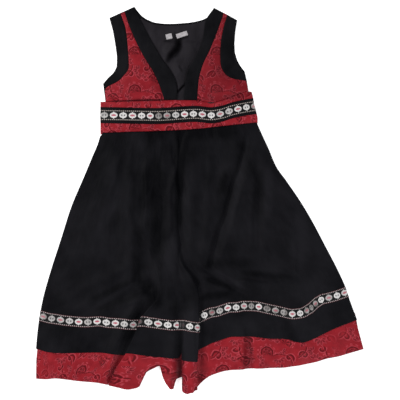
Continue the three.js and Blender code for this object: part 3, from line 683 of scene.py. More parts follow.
WAIST_FOOT_RIGHT = 130
WAIST_RIGHT = rows_of("y x", [(244, 116.5), (230, 119.8), (213, 122.5), (200, 126), (181, 130), (174, 130)])
waist_right = curve(WAIST_RIGHT, "y", "x")


def back_band_head(x):
    """The upper edge of the waistband's back."""
    return back_waist(x) - GAP / 2


def back_band_foot(x):
    """Its lower edge."""
    return waist_bottom(x) - BACK_SEAM_DROP + GAP / 2


BAND_COLUMNS, BAND_ROWS = 140, 30
BAND_SIDE_POINTS = 24
band_head_x = np.linspace(WAIST_LEFT, WAIST_TOP_RIGHT, EDGE_POINTS)
band_foot_x = np.linspace(WAIST_LEFT, WAIST_FOOT_RIGHT, EDGE_POINTS)
band_right_y = np.linspace(
    back_band_head(WAIST_TOP_RIGHT), back_band_foot(WAIST_FOOT_RIGHT), BAND_SIDE_POINTS)
waistband_back = spread(
    paired(band_head_x, back_band_head(band_head_x)), paired(band_foot_x, back_band_foot(band_foot_x)),
    [(WAIST_LEFT, back_band_head(WAIST_LEFT)), (WAIST_LEFT, back_band_foot(WAIST_LEFT))],
    paired(waist_right(band_right_y), band_right_y), BAND_COLUMNS, BAND_ROWS)
sew("waistband_back", level_at(waistband_back, BROCADE / 2), BROCADE, brocade)

# ---- back of the skirt -------------------------------------------------------------------------
# A flared panel of light black cotton, sewn to the waistband. It lies flat on the table, with soft
# creases left by its folds.

# Painted shade and light: lines along the folds, each with its reach and how much lighter it is.
SKIRT_PAINTED_SHADING = [
    # painted shade: the left of the skirt, its middle under the waistband, and its right
    (-213, 139, -239, 57, 50, -0.25), (-119, 85, -131, -36, 16, -0.4), (-134, -48, -138, -178, 24, -0.4),
    (-93, 99, -93, -98, 38, -0.4), (-41, 97, -52, -81, 14, -0.5), (-26, 157, -44, 32, 42, -0.4),
    (-144, 150, 98, 160, 30, -0.4), (92, 120, 25, -132, 15, -0.05), (62, 67, 43, 13, 14, -0.4),
    (135, 54, 130, -46, 20, -0.4), (13, -142, 125, -142, 20, -0.35), (95, -162, 205, -174, 13, -0.5),
    (10, -174, 85, -202, 11, -0.5), (5, -218, 78, -208, 15, -0.5), (-41, -134, -7, -176, 18, -0.1),
    (-122, -186, -98, -226, 26, -0.6), (-117, -202, -231, -247, 15, -0.4),
    (-147, -178, -257, -232, 12, -0.4), (-130, -230, -168, -321, 20, -0.4),
    (188, -263, 214, -324, 20, -0.35), (-44, -286, -44, -370, 12, -0.5), (-64, -200, -55, -258, 18, -0.3),
    # painted light: along the tops of the folds, and on the turned flap
    (-186, 67, -198, -18, 15, 0.25), (-197, -10, -230, -88, 16, 0.25), (-157, 39, -157, -166, 28, 0.2),
    (-57, -83, -69, -152, 22, 0.45), (-59, -151, -59, -246, 34, 0.2), (104, 112, 64, -66, 12, 0.35),
    (154, 77, 154, -38, 16, 0.35), (226, -23, 224, -156, 26, 0.35), (18, -150, 103, -198, 9, 0.4),
    (-29, 82, -29, -103, 20, 0.3), (-15, -236, -18, -395, 30, 0.9), (-147, -186, -242, -244, 9, 0.3),
    (256, -191, 316, -236, 70, 0.25), (-287, -140, -229, -98, 70, 0.2), (150, -40, 200, -150, 120, 0.25),
    (60, -285, 290, -290, 45, 0.35)]
skirt_cotton = cotton(
    "skirt_cotton", (0.0015, 0.0015, 0.0021, 1), (0.0090, 0.0086, 0.0106, 1), 0.8, SKIRT_PAINTED_SHADING)

# Long soft creases that pressing and wear left in the back.
BACK_CREASES = folds_of([
    (-196, 60, -214, -300, 0.5, 0.9, 9, 14, 1.5), (-92, 130, -110, -290, 0.7, 0.5, 12, 8, 1.4),
    (-20, 140, 4, -280, 0.8, 0.9, 10, 16, 1.6), (66, 150, 118, -260, 0.6, 0.8, 14, 9, 1.4),
    (120, 60, 232, -240, 0.5, 0.8, 10, 15, 1.5), (-300, -120, -330, -300, 0.4, 0.7, 10, 12, 1.2),
    (-160, -150, 40, -186, 0.5, 0.3, 8, 10, 1.0), (60, -60, 210, -20, 0.3, 0.5, 9, 7, 1.0)])


def laid_back(net, thickness):
    """The middle of a back piece: flat on the table, with its creases standing a little off it."""
    x, y = net[..., 0], net[..., 1]
    from_edges = [np.minimum(np.arange(count), np.arange(count)[::-1]) / 5 for count in net.shape[:2]]
    free = np.clip(np.minimum.outer(*from_edges), 0, 1)
    return np.dstack([x, y, thickness / 2 + free * fold_height(BACK_CREASES, x, y)])


SIDE_LEFT = rows_of("y x", [
    (152, -219), (147.5, -220), (144, -223), (138, -225.5), (129, -228), (98, -241), (50, -261),
    (-15, -288.5), (-87, -311.5), (-168, -337.5), (-225, -353), (-280, -362.5), (-333, -367.5)])
SIDE_RIGHT = rows_of("y x", [
    (174, 128), (145, 141), (117, 154), (75, 172), (44, 194), (-2, 225.5), (-49, 253.5), (-103, 282),
    (-157, 310), (-197, 328), (-229, 338.5), (-268, 353)])
BACK_HEM = rows_of("x black red_x red", [
    (-367, -333, -365.5, -398), (-250, -325, -250, -386), (-100, -314, -89, -370), (0, -306, 20, -368),
    (100, -298, 120, -364), (200, -288, 200, -357), (300, -277, 290, -343), (352.5, -268.5, 364, -331)])
SKIRT_TOP_LEFT, SKIRT_TOP_RIGHT = -220, 128
side_left = curve(SIDE_LEFT, "y", "x")
side_right = curve(SIDE_RIGHT, "y", "x")
back_black = curve(BACK_HEM, "x", "black")

HEM_POINTS = 80
SKIRT_BACK_COLUMNS, SKIRT_BACK_ROWS = 190, 150
hem_x = np.linspace(BACK_HEM["x"][0], BACK_HEM["x"][-1], HEM_POINTS)
back_seam_x = np.linspace(SKIRT_TOP_LEFT, SKIRT_TOP_RIGHT, EDGE_POINTS)
back_seam_y = back_band_foot(back_seam_x) - GAP
left_y = np.linspace(back_seam_y[0], BACK_HEM["black"][0], EDGE_POINTS)
right_y = np.linspace(back_seam_y[-1], BACK_HEM["black"][-1], EDGE_POINTS)
skirt_back_net = spread(
    paired(back_seam_x, back_seam_y), paired(hem_x, back_black(hem_x)),
    paired(side_left(left_y), left_y), paired(side_right(right_y), right_y),
    SKIRT_BACK_COLUMNS, SKIRT_BACK_ROWS)
sew("skirt_back", laid_back(skirt_back_net, COTTON), COTTON, skirt_cotton)

# ---- red band under the back hem ---------------------------------------------------------------
# A strip of the same jacquard, sewn behind the black hem so that it shows below it. It is a little
# thinner than the waistband, which is doubled.

HEM_BROCADE = 1.0
HEM_TUCK = 15
TUCKED_IN = 0.99  # the red band's upper edge is a little shorter than the black hem
HEM_BACK_COLUMNS, HEM_BACK_ROWS = 220, 30

back_red = curve(BACK_HEM, "red_x", "red")
red_x = np.linspace(BACK_HEM["red_x"][0], BACK_HEM["red_x"][-1], HEM_POINTS)
hem_back_top = paired(hem_x * TUCKED_IN, back_black(hem_x) + HEM_TUCK)
hem_back_foot = paired(red_x, back_red(red_x))
hem_back = spread(
    hem_back_top, hem_back_foot, [hem_back_top[0], hem_back_foot[0]],
    [hem_back_top[-1], hem_back_foot[-1]], HEM_BACK_COLUMNS, HEM_BACK_ROWS)
sew("hem_back", level_at(hem_back, COTTON + GAP + HEM_BROCADE / 2), HEM_BROCADE, brocade)

# ---- red fronts of the bodice ------------------------------------------------------------------
# Two jacquard panels, wide under the bust and drawn out to a narrow strip at each shoulder. They are
# seamed between the black bands, and the front lies puffed a little over the back.

AT_SIDE_SEAM = COTTON + GAP + COTTON / 2
OVER_LINING = COTTON + GAP + LINING + GAP + COTTON / 2
OVER_HEMS = COTTON + 2 * (HEM_BROCADE + GAP) + GAP + COTTON / 2
LYING = rows_of("y left right seat puff", [
    (434, -205, 86, AT_SIDE_SEAM, 0.5), (418, -203, 85, AT_SIDE_SEAM, 0.5),
    (404, -202, 84, OVER_LINING, 0.6), (350, -190, 76, OVER_LINING, 1.5),
    (300, -187, 91, OVER_LINING, 2.5), (262, -217, 106, OVER_LINING, 3),
    (240, -213, 114, AT_SIDE_SEAM, 3.6), (190, -222, 124, AT_SIDE_SEAM, 3.4),
    (152, -221, 134, AT_SIDE_SEAM, 3), (98, -240, 160, AT_SIDE_SEAM, 2.6),
    (-15, -289, 230, AT_SIDE_SEAM, 2.5), (-168, -337, 311, AT_SIDE_SEAM, 2.5),
    (-310, -364, 360, AT_SIDE_SEAM, 2.2), (-434, -367.5, 367.5, AT_SIDE_SEAM, 2)])
lying_left, lying_right, lying_seat, lying_puff = [
    curve(LYING, "y", column) for column in ("left", "right", "seat", "puff")]
SEAM_DEPTH = 2.2  # how far the waist's two seams are drawn in
SEAM_REACH = 3.2

# The large folds of the whole front, each from its lower end to its upper end, or from left to right.
FRONT_FOLDS = folds_of([
    # bodice and waistband
    (-150, 245, -148, 330, 4, 1, 32, 28, 1.2), (42, 240, 36, 320, 4.5, 1, 28, 34, 1.2),
    (22, 150, 26, 240, -4, -3, 16, 14, 1), (86, 160, 80, 250, 3, 3, 24, 24, 1),
    (-232, 175, -120, 178, 1.5, 2.5, 16, 16, 1),
    # left of the skirt
    (-240, -112, -185, 76, 5, 7.5, 32, 8, 1.3), (-153, -168, -155, 70, 7, 4, 16, 8, 1.3),
    (-300, -222, -188, -164, 2.5, 4, 13, 6, 1), (-266, -243, -156, -190, 2.5, 3.5, 9, 6, 1),
    (-232, -238, -128, -200, -3, -4, 6, 7, 1), (-236, -262, -140, -222, 2.5, 3.5, 8, 6, 1),
    (-330, -400, -325, -270, 4, 3, 22, 26, 1), (-214, -400, -168, -290, 5, 5, 20, 9, 1),
    (-186, -330, -152, -252, 5, 4, 16, 9, 1), (-152, -258, -122, -186, 5.5, 5, 13, 8, 1),
    (-66, -410, -58, -262, 6, 5, 15, 8, 1), (-14, -420, -16, -200, 5, 4.5, 30, 8, 1),
    # middle
    (-121, -60, -119, 66, 7.5, 6, 7, 20, 1), (-90, -84, -90, 80, -4, -3, 14, 10, 1),
    (-53, 28, -52, 118, 5, 4, 7, 4, 1), (-68, -60, -64, 34, 4, 4, 7, 6, 1),
    (-68, -220, -63, -88, 9, 5, 17, 13, 2.2), (-44, -128, -42, 34, -5, -4.5, 6, 6, 1),
    (-41, 34, -60, 112, -4.5, -3.5, 5, 6, 1), (-52, 100, -38, 156, -3.5, -4, 7, 7, 1),
    (-38, -132, -12, -170, -4, -4, 6, 6, 1), (-14, -108, -12, 92, 7, 4, 18, 22, 1.2),
    (12, -100, 22, 70, 3, 3, 9, 12, 1.1),
    # right of the skirt
    (14, -124, 86, 112, 7.5, 6.5, 26, 11, 1), (55, -120, 126, 116, 6, 5, 12, 24, 1),
    (28, -122, 101, 122, -3.8, -3.8, 6, 6, 1), (128, -90, 130, 76, -4, -4, 9, 9, 1),
    (154, -80, 152, 84, 4.5, 4, 11, 26, 1.2), (212, -160, 206, -34, 6.5, 5, 30, 9, 1),
    (158, -16, 196, -58, 3, 4, 7, 9, 1), (16, -158, 88, -202, 6, 5, 8, 6, 1),
    (20, -216, 80, -220, -4, -3, 8, 9, 1), (140, -166, 204, -170, -4, -4, 9, 8, 1),
    (106, -184, 198, -188, 7.5, 5, 5, 17, 1), (98, -392, 94, -300, 10, 5, 24, 8, 1),
    (113, -392, 114, -318, -9, -3, 8, 7, 1), (136, -388, 136, -320, 5, 3, 12, 20, 1),
    (-64, -425, -60, -345, 9, 3, 14, 9, 1), (192, -312, 172, -262, -4, -3, 12, 14, 1),
    (222, -340, 205, -250, 7, 5, 16, 22, 1), (305, -345, 318, -200, 5, 4, 25, 22, 1)])

# Smaller creases between them, which only the finished cloth has.
SMALL_FOLDS = folds_of([
    # bodice: pulls from the seams and the side
    (-205, 243, -172, 262, 0.7, 0.5, 5, 7, 1), (-196, 232, -150, 240, 0.6, 0.4, 5, 4, 1),
    (-120, 238, -104, 286, 0.5, 0.5, 6, 4, 1), (8, 236, 20, 280, 0.6, 0.4, 5, 5, 1),
    (60, 262, 94, 262, 0.6, 0.6, 4, 6, 1), (70, 240, 108, 250, 0.6, 0.5, 4, 5, 1),
    # waistband
    (-212, 164, -150, 160, 0.5, 0.4, 4, 5, 1), (-60, 166, -20, 168, 0.5, 0.4, 5, 4, 1),
    (60, 176, 116, 190, 0.6, 0.4, 5, 5, 1),
    # skirt, under the waistband
    (-196, 60, -190, 146, 0.5, 0.4, 6, 8, 1.3), (-136, 70, -132, 150, 0.4, 0.5, 5, 7, 1.3),
    (-84, 60, -80, 156, 0.5, 0.4, 6, 6, 1.3), (24, 70, 20, 158, 0.4, 0.5, 6, 7, 1.3),
    (118, 60, 108, 160, 0.5, 0.4, 6, 8, 1.3),
    # skirt, down the panels
    (-252, -60, -222, 40, 0.9, 0.6, 7, 5, 1.2), (-290, -150, -262, -60, 0.8, 0.7, 6, 8, 1.2),
    (-206, -70, -196, 20, 0.7, 0.6, 5, 4, 1.0), (-176, -120, -172, -10, 0.9, 0.6, 6, 5, 1.0),
    (-112, -150, -108, -50, 0.8, 0.6, 5, 5, 1.0), (-20, -60, -26, 60, 0.7, 0.6, 6, 5, 1.0),
    (14, -160, 6, -90, 0.8, 0.5, 6, 6, 1.2), (72, -120, 96, -10, 0.9, 0.7, 6, 8, 1.0),
    (112, -130, 120, 20, 0.8, 0.6, 6, 5, 1.0), (178, -40, 168, 60, 0.6, 0.5, 6, 6, 1.0),
    (232, -150, 222, -60, 0.9, 0.6, 7, 8, 1.0), (262, -180, 246, -90, 0.7, 0.6, 7, 6, 1.0),
    (290, -240, 276, -150, 0.8, 0.5, 8, 6, 1.0),
    # slanting creases over the ribbon
    (-346, -262, -300, -240, 0.8, 0.6, 6, 5, 1), (-200, -262, -160, -236, 0.9, 0.6, 5, 6, 1),
    (30, -226, 84, -236, 0.9, 0.7, 6, 5, 1), (60, -146, 130, -140, 0.7, 0.7, 5, 7, 1),
    (150, -216, 232, -206, 0.8, 0.6, 6, 6, 1), (-60, -206, -52, -160, 0.7, 0.7, 5, 4, 1),
    # hem
    (-296, -330, -288, -270, 0.8, 0.5, 7, 6, 1), (-260, -410, -252, -345, 0.8, 0.7, 7, 5, 1),
    (-150, -350, -142, -300, 0.8, 0.6, 5, 6, 1), (36, -390, 40, -330, 0.9, 0.6, 7, 6, 1),
    (142, -380, 138, -320, 0.8, 0.6, 7, 5, 1), (190, -370, 186, -320, 0.8, 0.6, 6, 6, 1),
    (262, -360, 258, -290, 0.8, 0.6, 7, 7, 1), (330, -340, 336, -280, 0.6, 0.6, 7, 6, 1)])


CLIMB = 40  # the front climbs onto the bands at the hem over this length, down to a little above them
CLIMB_END = 5
FALL_START, FALL_END = -3, -22  # and lies lower again beyond the back's red edge


def over_hems(x, y):
    """How much higher the front lies where the back's hem and the two red bands are under it."""
    above = back_black(x) + HEM_TUCK + CLIMB_END + CLIMB - y
    return (OVER_HEMS - AT_SIDE_SEAM) * ease(above, 0, CLIMB) * ease(y - back_red(x), FALL_END, FALL_START)


def front_height(x, y):
    """The middle of the front wall: its seat on the layers under it, and its puff and folds."""
    across = (x - lying_left(y)) / (lying_right(y) - lying_left(y))
    fullness = np.maximum(0, 1 - np.abs(2 * across - 1) ** 6)
    large = lying_puff(y) + fold_height(FRONT_FOLDS, x, y)
    drawn_in = sum(np.exp(-((y - seam(x)) / SEAM_REACH) ** 2) for seam in (waist_top, waist_bottom))
    folds = np.maximum(0, large - SEAM_DEPTH * drawn_in) + fold_height(SMALL_FOLDS, x, y)
    return lying_seat(y) + over_hems(x, y) + fullness * folds


# Each side's seams from the shoulder to the waist. "rows" pairs heights on the armhole with heights on the
# band's seam, and "side" carries on down the side seam.
SEAM_FOOT = 225
SEAMS = {
    "left": {
        "outward": -1,
        "neck": V_LEFT,
        "cup": rows_of("y x", [
            (422.5, -169), (383, -155), (327, -128), (293, -107), (266, -93.5), (246, -86),
            (225, -79.5)]),
        "band": rows_of("y x", [
            (419, -178), (383, -166), (338, -161), (298, -159), (282, -168), (266, -184), (253, -209),
            (248, -212.5), (222, -211.5)]),
        "armhole": ARMHOLE_LEFT,
        "rows": rows_of("armhole band", [
            (408, 419), (394, 401), (380, 383), (362, 361), (344, 338), (326, 318), (311, 302),
            (300, 291), (291, 282), (284, 274), (277, 266), (270, 259), (265, 253), (261, 248)]),
        "side": [235, 222.5],
    },
    "right": {
        "outward": 1,
        "neck": V_RIGHT,
        "cup": rows_of("y x", [(420.5, 54), (383, 41), (338, 23), (304, 7), (271, -2), (225, -6)]),
        "band": rows_of("y x", [
            (416.5, 62), (382, 52), (350, 47), (327, 46), (309, 46.5), (297, 49), (287, 54), (280, 60),
            (275, 68), (271, 80), (267, 104.5), (255, 107.5), (244, 110)]),
        "armhole": ARMHOLE_RIGHT,
        "rows": rows_of("armhole band", [
            (404, 416.5), (391, 400), (378, 382), (364, 362), (350, 343), (336, 325), (322, 309),
            (311, 297), (303, 287), (297, 280), (292, 275), (288, 271), (284, 267)]),
        "side": [258, 250, 244.5],
    },
}
ROWS_PER_STATION = 6
NECKBAND_COLUMNS, CUP_COLUMNS, ARMHOLE_BAND_COLUMNS = 24, 60, 20


def beside_seam(line, hand):
    """The line moved by half a seam's gap to one hand as it runs down: -1 is left, 1 is right."""
    along = np.gradient(line, axis=0)
    along /= np.linalg.norm(along, axis=1, keepdims=True)
    return line + paired(-along[:, 1], along[:, 0]) * hand * GAP / 2


def between_seams(inner, outer, outward, columns, stations_from_end=None):
    """A net between two seams that run down, from left to right. One that reaches the waist ends on it."""
    left, right = (outer, inner) if outward < 0 else (inner, outer)
    net = mix(left[:, None], right[:, None], np.linspace(0, 1, columns)[None, :, None])
    if stations_from_end is not None:
        short = waist_top(net[-1, :, 0]) + GAP / 2 - net[-1, :, 1]
        net[..., 1] += np.clip(1 - stations_from_end, 0, 1)[:, None] * short[None]
    return net


def dip(apart, depth, reach):
    """How far cloth dips at a distance from a seam."""
    return depth * np.exp(-((apart / reach) ** 2))


def seamed(net, sides, depth=0.55, reach=2.6):
    """Front cloth that dips into the seams on the named sides."""
    x, y = net[..., 0], net[..., 1]
    distances = {
        "left": np.hypot(x - x[:, :1], y - y[:, :1]), "right": np.hypot(x - x[:, -1:], y - y[:, -1:]),
        "foot": np.abs(y - y[-1:])}
    height = front_height(x, y)
    for side in sides:
        height = height - dip(distances[side], depth, reach)
    return np.dstack([x, y, height])


def by_station(heights, at):
    """A smooth line through heights that are one station apart."""
    stations = {"station": np.arange(len(heights), dtype=float), "y": np.array(heights)}
    return curve(stations, "station", "y")(at)


panels = {}
for side, seams in SEAMS.items():
    outward = seams["outward"]
    band_rows = np.concatenate([seams["rows"]["band"], seams["side"]])
    last = len(band_rows) - 1
    fine = np.linspace(0, last, ROWS_PER_STATION * last + 1)
    arm_fine = fine[fine <= len(seams["rows"]["armhole"]) - 1]
    heights = {
        "band": by_station(band_rows, fine), "armhole": by_station(seams["rows"]["armhole"], arm_fine),
        "cup": np.interp(fine, [0, last], [seams["cup"]["y"][0], SEAM_FOOT]),
        "neck": np.interp(fine, [0, last], [seams["neck"]["y"][0], SEAM_FOOT])}
    lines = {seam: paired(curve(seams[seam], "y", "x")(y), y) for seam, y in heights.items()}
    neckband_seam, cup_inner = beside_seam(lines["cup"], -outward), beside_seam(lines["cup"], outward)
    cup_outer = beside_seam(lines["band"], -outward)
    band_seam = beside_seam(lines["band"][:len(arm_fine)], outward)
    panels[side] = {
        "neckband": between_seams(lines["neck"], neckband_seam, outward, NECKBAND_COLUMNS, last - fine),
        "cup": between_seams(cup_inner, cup_outer, outward, CUP_COLUMNS, last - fine),
        "armhole": between_seams(band_seam, lines["armhole"], outward, ARMHOLE_BAND_COLUMNS)}
    sew("front_cup_" + side, seamed(panels[side]["cup"], ("left", "right", "foot")), BROCADE, brocade)

# ---- black bands along the neck ----------------------------------------------------------------
# A wide doubled band of black cotton on each side of the V. It is seamed to the red front and turned
# over at the neck.

for side in SEAMS:
    sew("neckband_" + side, seamed(panels[side]["neckband"], (side, "foot")), COTTON, black_cotton)

# ---- black bands round the armholes ------------------------------------------------------------
# The same band of black cotton, cut to the curve of the armhole. It is seamed to the red front and
# turned over at the arm.

for side, inner in (("left", "right"), ("right", "left")):
    sew("armhole_band_" + side, seamed(panels[side]["armhole"], (inner,)), COTTON, black_cotton)

# ---- front of the waistband --------------------------------------------------------------------
# A band of the red jacquard, seamed to the cups above and the skirt below. A black cotton strip is
# sewn along its middle, and carries the woven ribbon.

TAPE = 1.0
RIBBON_WIDTH = 24
STRIP_WIDTH = 36


def waist_net(columns, *levels):
    """Rows across the waistband, each at a height that a function gives for a place across."""
    at_top = np.linspace(WAIST_LEFT, WAIST_TOP_RIGHT, columns)
    part = (at_top - WAIST_LEFT) / (WAIST_TOP_RIGHT - WAIST_LEFT)
    rows = []
    for level in levels:
        x = at_top + part * np.maximum(0, waist_right(level(at_top)) - WAIST_TOP_RIGHT)
        rows.append(paired(x, level(x)))
    return np.array(rows)


def between_levels(upper, lower, count):
    """Lines evenly spaced between two lines across the waistband."""
    return [lambda x, s=s: mix(upper(x), lower(x), s) for s in np.linspace(0, 1, count)]


def band_top(x):
    """The upper edge of the waistband's front."""
    return waist_top(x) - GAP / 2


def band_foot(x):
    """Its lower edge."""
    return waist_bottom(x) + GAP / 2


WAIST_COLUMNS = 170
WAISTBAND_ROWS, STRIP_ROWS, WAIST_RIBBON_ROWS = 36, 16, 12
waistband_front = seamed(
    waist_net(WAIST_COLUMNS, *between_levels(band_top, band_foot, WAISTBAND_ROWS)), ("foot",))
waistband_front[..., 2] -= dip(waistband_front[..., 1] - waistband_front[:1, :, 1], 0.5, 2.4)
sew("waistband_front", waistband_front, BROCADE, brocade)

STRIP_OUT = BROCADE / 2 + GAP + TAPE / 2
RIBBON_OUT = STRIP_OUT + TAPE + GAP


def on_waistband(half_width, count, out):
    """A strip along the waistband's middle, laid over it at a distance."""
    net = waist_net(WAIST_COLUMNS, *between_levels(
        lambda x: strip_centre(x) + half_width, lambda x: strip_centre(x) - half_width, count))
    return moved_out(np.dstack([net, front_height(net[..., 0], net[..., 1])]), out)


sew("waist_strip_front", on_waistband(STRIP_WIDTH / 2, STRIP_ROWS, STRIP_OUT), TAPE, black_cotton)

# ---- woven ribbon on the waistband -------------------------------------------------------------
# Folk ribbon in black, silver and red, sewn along the strip. Pale ovals stand in a row between two lines
# of beads, and their middles are by turns a red lens and two dark dots.

OVAL_PITCH = 20.4
OVAL_HALF_WIDTH = 8.2
OVAL_HALF_HEIGHT = 6.1
OVAL_BEND = 2.1  # an oval's outline is a little squarer than an ellipse
INNER_RING = 0.66
TICK_LINE = 6.9  # from the ribbon's middle, as are the beads and the edge
BEAD_LINE = 10.0
EDGE_LINE = 11.3
BEAD_PITCH = 4.4
THREAD_PITCH = 0.55
OVALS_BEFORE = 100  # an even number that keeps their count above 0


def ribbon_finish(name, bead, edge, painted_dark_ovals):
    """The ribbon's weave. On its cloth, u counts ovals from the left and v is the distance from the middle.

    The last argument gives, by their number, how far some ovals are painted darker: silver that catches no
    reflection, or that lies in the shade of a pleat.
    """
    finish = Finish(name, Specular_IOR_Level=0.12)
    u, v, place = finish.cloth()
    oval = u / OVAL_PITCH
    nearest = finish.maths("FLOOR", oval + 0.5)
    across = (oval - nearest) * OVAL_PITCH
    odd = finish.maths("MODULO", nearest + OVALS_BEFORE, 2.0)
    radius = abs(across / OVAL_HALF_WIDTH) ** OVAL_BEND + abs(v / OVAL_HALF_HEIGHT) ** OVAL_BEND
    radius = radius ** (1 / OVAL_BEND)
    medal = radius.within(1.0, 0.07)
    ring = abs(radius - INNER_RING).within(0.05, 0.06)
    ticks = abs(across).within(1.0, 0.4) * abs(abs(v) - TICK_LINE).within(0.9, 0.3)
    lens = (abs(across / 5.4) ** 1.6 + abs(v / 2.4) ** 1.6).within(1.0, 0.2) * odd
    dots = (((abs(across) - 2.9) / 1.6) ** 2 + (v / 2.2) ** 2).within(1.0, 0.35) * (1 - odd)
    spine = abs(across).within(0.5, 0.3) * abs(v).within(4.0, 0.6) * (1 - odd)
    beads = abs(abs(v) - BEAD_LINE).within(0.9, 0.4) * (u.wave(BEAD_PITCH) * 0.8 + 0.45)
    line = abs(abs(v) - EDGE_LINE).within(0.4, 0.3)
    thread = u.wave(THREAD_PITCH) * 0.5 + 0.5
    uneven = finish.noise(place, 3.4, 3.0, 0.6)
    painted_glint = finish.noise(place, 16, 2.0, 0.5)
    ground = finish.blend(uneven, (0.002, 0.002, 0.0025, 1), (0.006, 0.0055, 0.0065, 1))
    glint = finish.noise(place, 12, 2.0, 0.6)
    # Painted shade and reflection: the listed ovals are painted grey where their silver catches no light, and
    # nearly black in the shade of a pleat.
    painted_dimming = 0.0
    for number, amount in painted_dark_ovals:
        painted_dimming = abs(nearest - number).within(0.5, 0.1) * amount + painted_dimming
    silver = finish.blend((uneven - 0.3) * 1.8, (0.48, 0.46, 0.45, 1), (0.90, 0.88, 0.86, 1))
    silver = finish.blend(painted_dimming * (1.9 - glint * 1.8), silver, (0.13, 0.115, 0.108, 1))
    silver = finish.blend(painted_dimming - 1, silver, (0.012, 0.010, 0.011, 1))
    silver = finish.blend(thread * 0.16, silver, (0.22, 0.21, 0.21, 1))
    # Painted reflection: patches of the silver are painted brighter or dimmer.
    shown = medal.at_least(ticks) * (0.82 + 0.25 * painted_glint)
    colour = finish.blend(shown, ground, silver)
    colour = finish.blend(ring * medal * 0.28, colour, (0.16, 0.15, 0.155, 1))
    colour = finish.blend(dots * 0.85, colour, (0.05, 0.05, 0.055, 1))
    colour = finish.blend(spine * 0.5, colour, (0.3, 0.29, 0.29, 1))
    colour = finish.blend(lens * (0.88 - painted_dimming * 0.4), colour, (0.33, 0.035, 0.07, 1))
    colour = finish.blend(beads * 0.85, colour, bead)
    colour = finish.blend(line * 0.8, colour, edge)
    finish.show("Base Color", colour)
    finish.show("Roughness", 0.62 - shown * 0.2)
    finish.relief(shown * 0.6 + beads * 0.4 - lens * 0.2 - dots * 0.2 - ring * 0.1, 0.35)
    finish.relief(thread * 0.5 + uneven * 0.5, 0.08)
    return finish


def ribbon_cloth(net, ovals):
    """Where each point is on a ribbon, square to the line of its middle. Ovals count along that line."""
    middle = net[len(net) // 2 - 1:(len(net) + 1) // 2 + 1].mean(axis=0)
    along = np.gradient(middle, axis=0)
    along /= np.linalg.norm(along, axis=1, keepdims=True)
    apart = net - middle
    forward = (apart * along).sum(axis=2)
    aside = np.linalg.norm(apart - forward[..., None] * along, axis=2)
    upper = np.where(np.arange(len(net))[:, None] < len(net) / 2, 1, -1)
    return np.dstack([ovals * OVAL_PITCH + forward, aside * upper])


# Some ovals are painted grey, where their silver catches no light.
waist_ribbon_finish = ribbon_finish("woven_ribbon", (0.46, 0.40, 0.36, 1), (0.05, 0.04, 0.04, 1), [
    (0, 0.5), (6, 0.8), (7, 0.75), (8, 0.3), (13, 0.35), (14, 0.4), (17, 0.7)])
waist_ribbon = on_waistband(RIBBON_WIDTH / 2, WAIST_RIBBON_ROWS, RIBBON_OUT)
# Which ovals lie at a few places across, counted from the first.
WAIST_OVALS = rows_of("x oval", [
    (-222.5, -0.4), (-214, 0), (-130, 4), (-73, 7), (-14, 10), (46, 13), (105, 16), (124, 17.1)])
waist_ovals = curve(WAIST_OVALS, "x", "oval")(waist_ribbon[WAIST_RIBBON_ROWS // 2, :, 0])
sew("waist_ribbon_front", waist_ribbon, TAPE, waist_ribbon_finish,
    cloth=ribbon_cloth(waist_ribbon, waist_ovals))

# ---- front of the skirt ------------------------------------------------------------------------
# One flared panel of light black cotton. As it lies it is laid in three pleats, each lapped over the
# cloth beside it, and it rises in soft folds between them.

PLEAT_LAYER = 5
PLEAT_RISE = 2 * PLEAT_LAYER
FLAT_PLEAT = 14  # how wide a pleat's cloth is where it isn't lapped yet
# Each run is the plain cloth between two pleats, or between a pleat and a side. These are the heights of
# the ribbon's middle above the black hem, by the share across the run. Folds tilt the cloth between them.
RIBBON_RISE = [
    rows_of("share rise", [
        (0, 74), (0.15, 75), (0.28, 72), (0.46, 69), (0.56, 70), (0.68, 66.5), (0.8, 67.5), (1, 68)]),
    rows_of("share rise", [(0, 71), (0.5, 74), (0.89, 74), (0.935, 63), (1, 62.5)]),
    rows_of("share rise", [(0, 79), (1, 77)]),
    rows_of("share rise", [
        (0, 73), (0.07, 71.5), (0.17, 66), (0.27, 65.5), (0.32, 68.3), (0.41, 69), (0.51, 63.7),
        (0.56, 60.4), (0.585, 59), (0.62, 62), (0.665, 65.6), (0.73, 68.6), (0.79, 72), (0.82, 72),
        (0.857, 68.7), (0.92, 65.2), (1, 63)]),
]
# Each pleat's line, and which hand its lap lies to. Down the skirt it starts to rise, starts to lap over,
# and from "laid" on lies as a whole lap.
PLEATS = [
    {"over": "right", "lap": 14, "rises": -110, "laps": -200, "laid": -262, "line": rows_of("y x", [
        (156, -107), (79, -112), (23, -121), (-33, -128), (-78, -123), (-123, -112), (-179, -99),
        (-221, -101), (-241, -115), (-265, -131.5), (-285, -139.5), (-343, -167), (-371, -185),
        (-409, -204)])},
    {"over": "right", "lap": 10, "rises": -190, "laps": -300, "laid": -340, "line": rows_of("y x", [
        (156, -76), (91, -79), (-33, -80), (-94, -73), (-157, -56), (-224, -43), (-281, -40),
        (-425, -41)])},
    {"over": "left", "lap": 16, "rises": -60, "laps": -182, "laid": -222, "line": rows_of("y x", [
        (160, -47), (79, -47), (-89, -44), (-139, -34), (-173, -12), (-202, -1.5), (-300, -1.5),
        (-362, -5), (-414, -4)])},
]
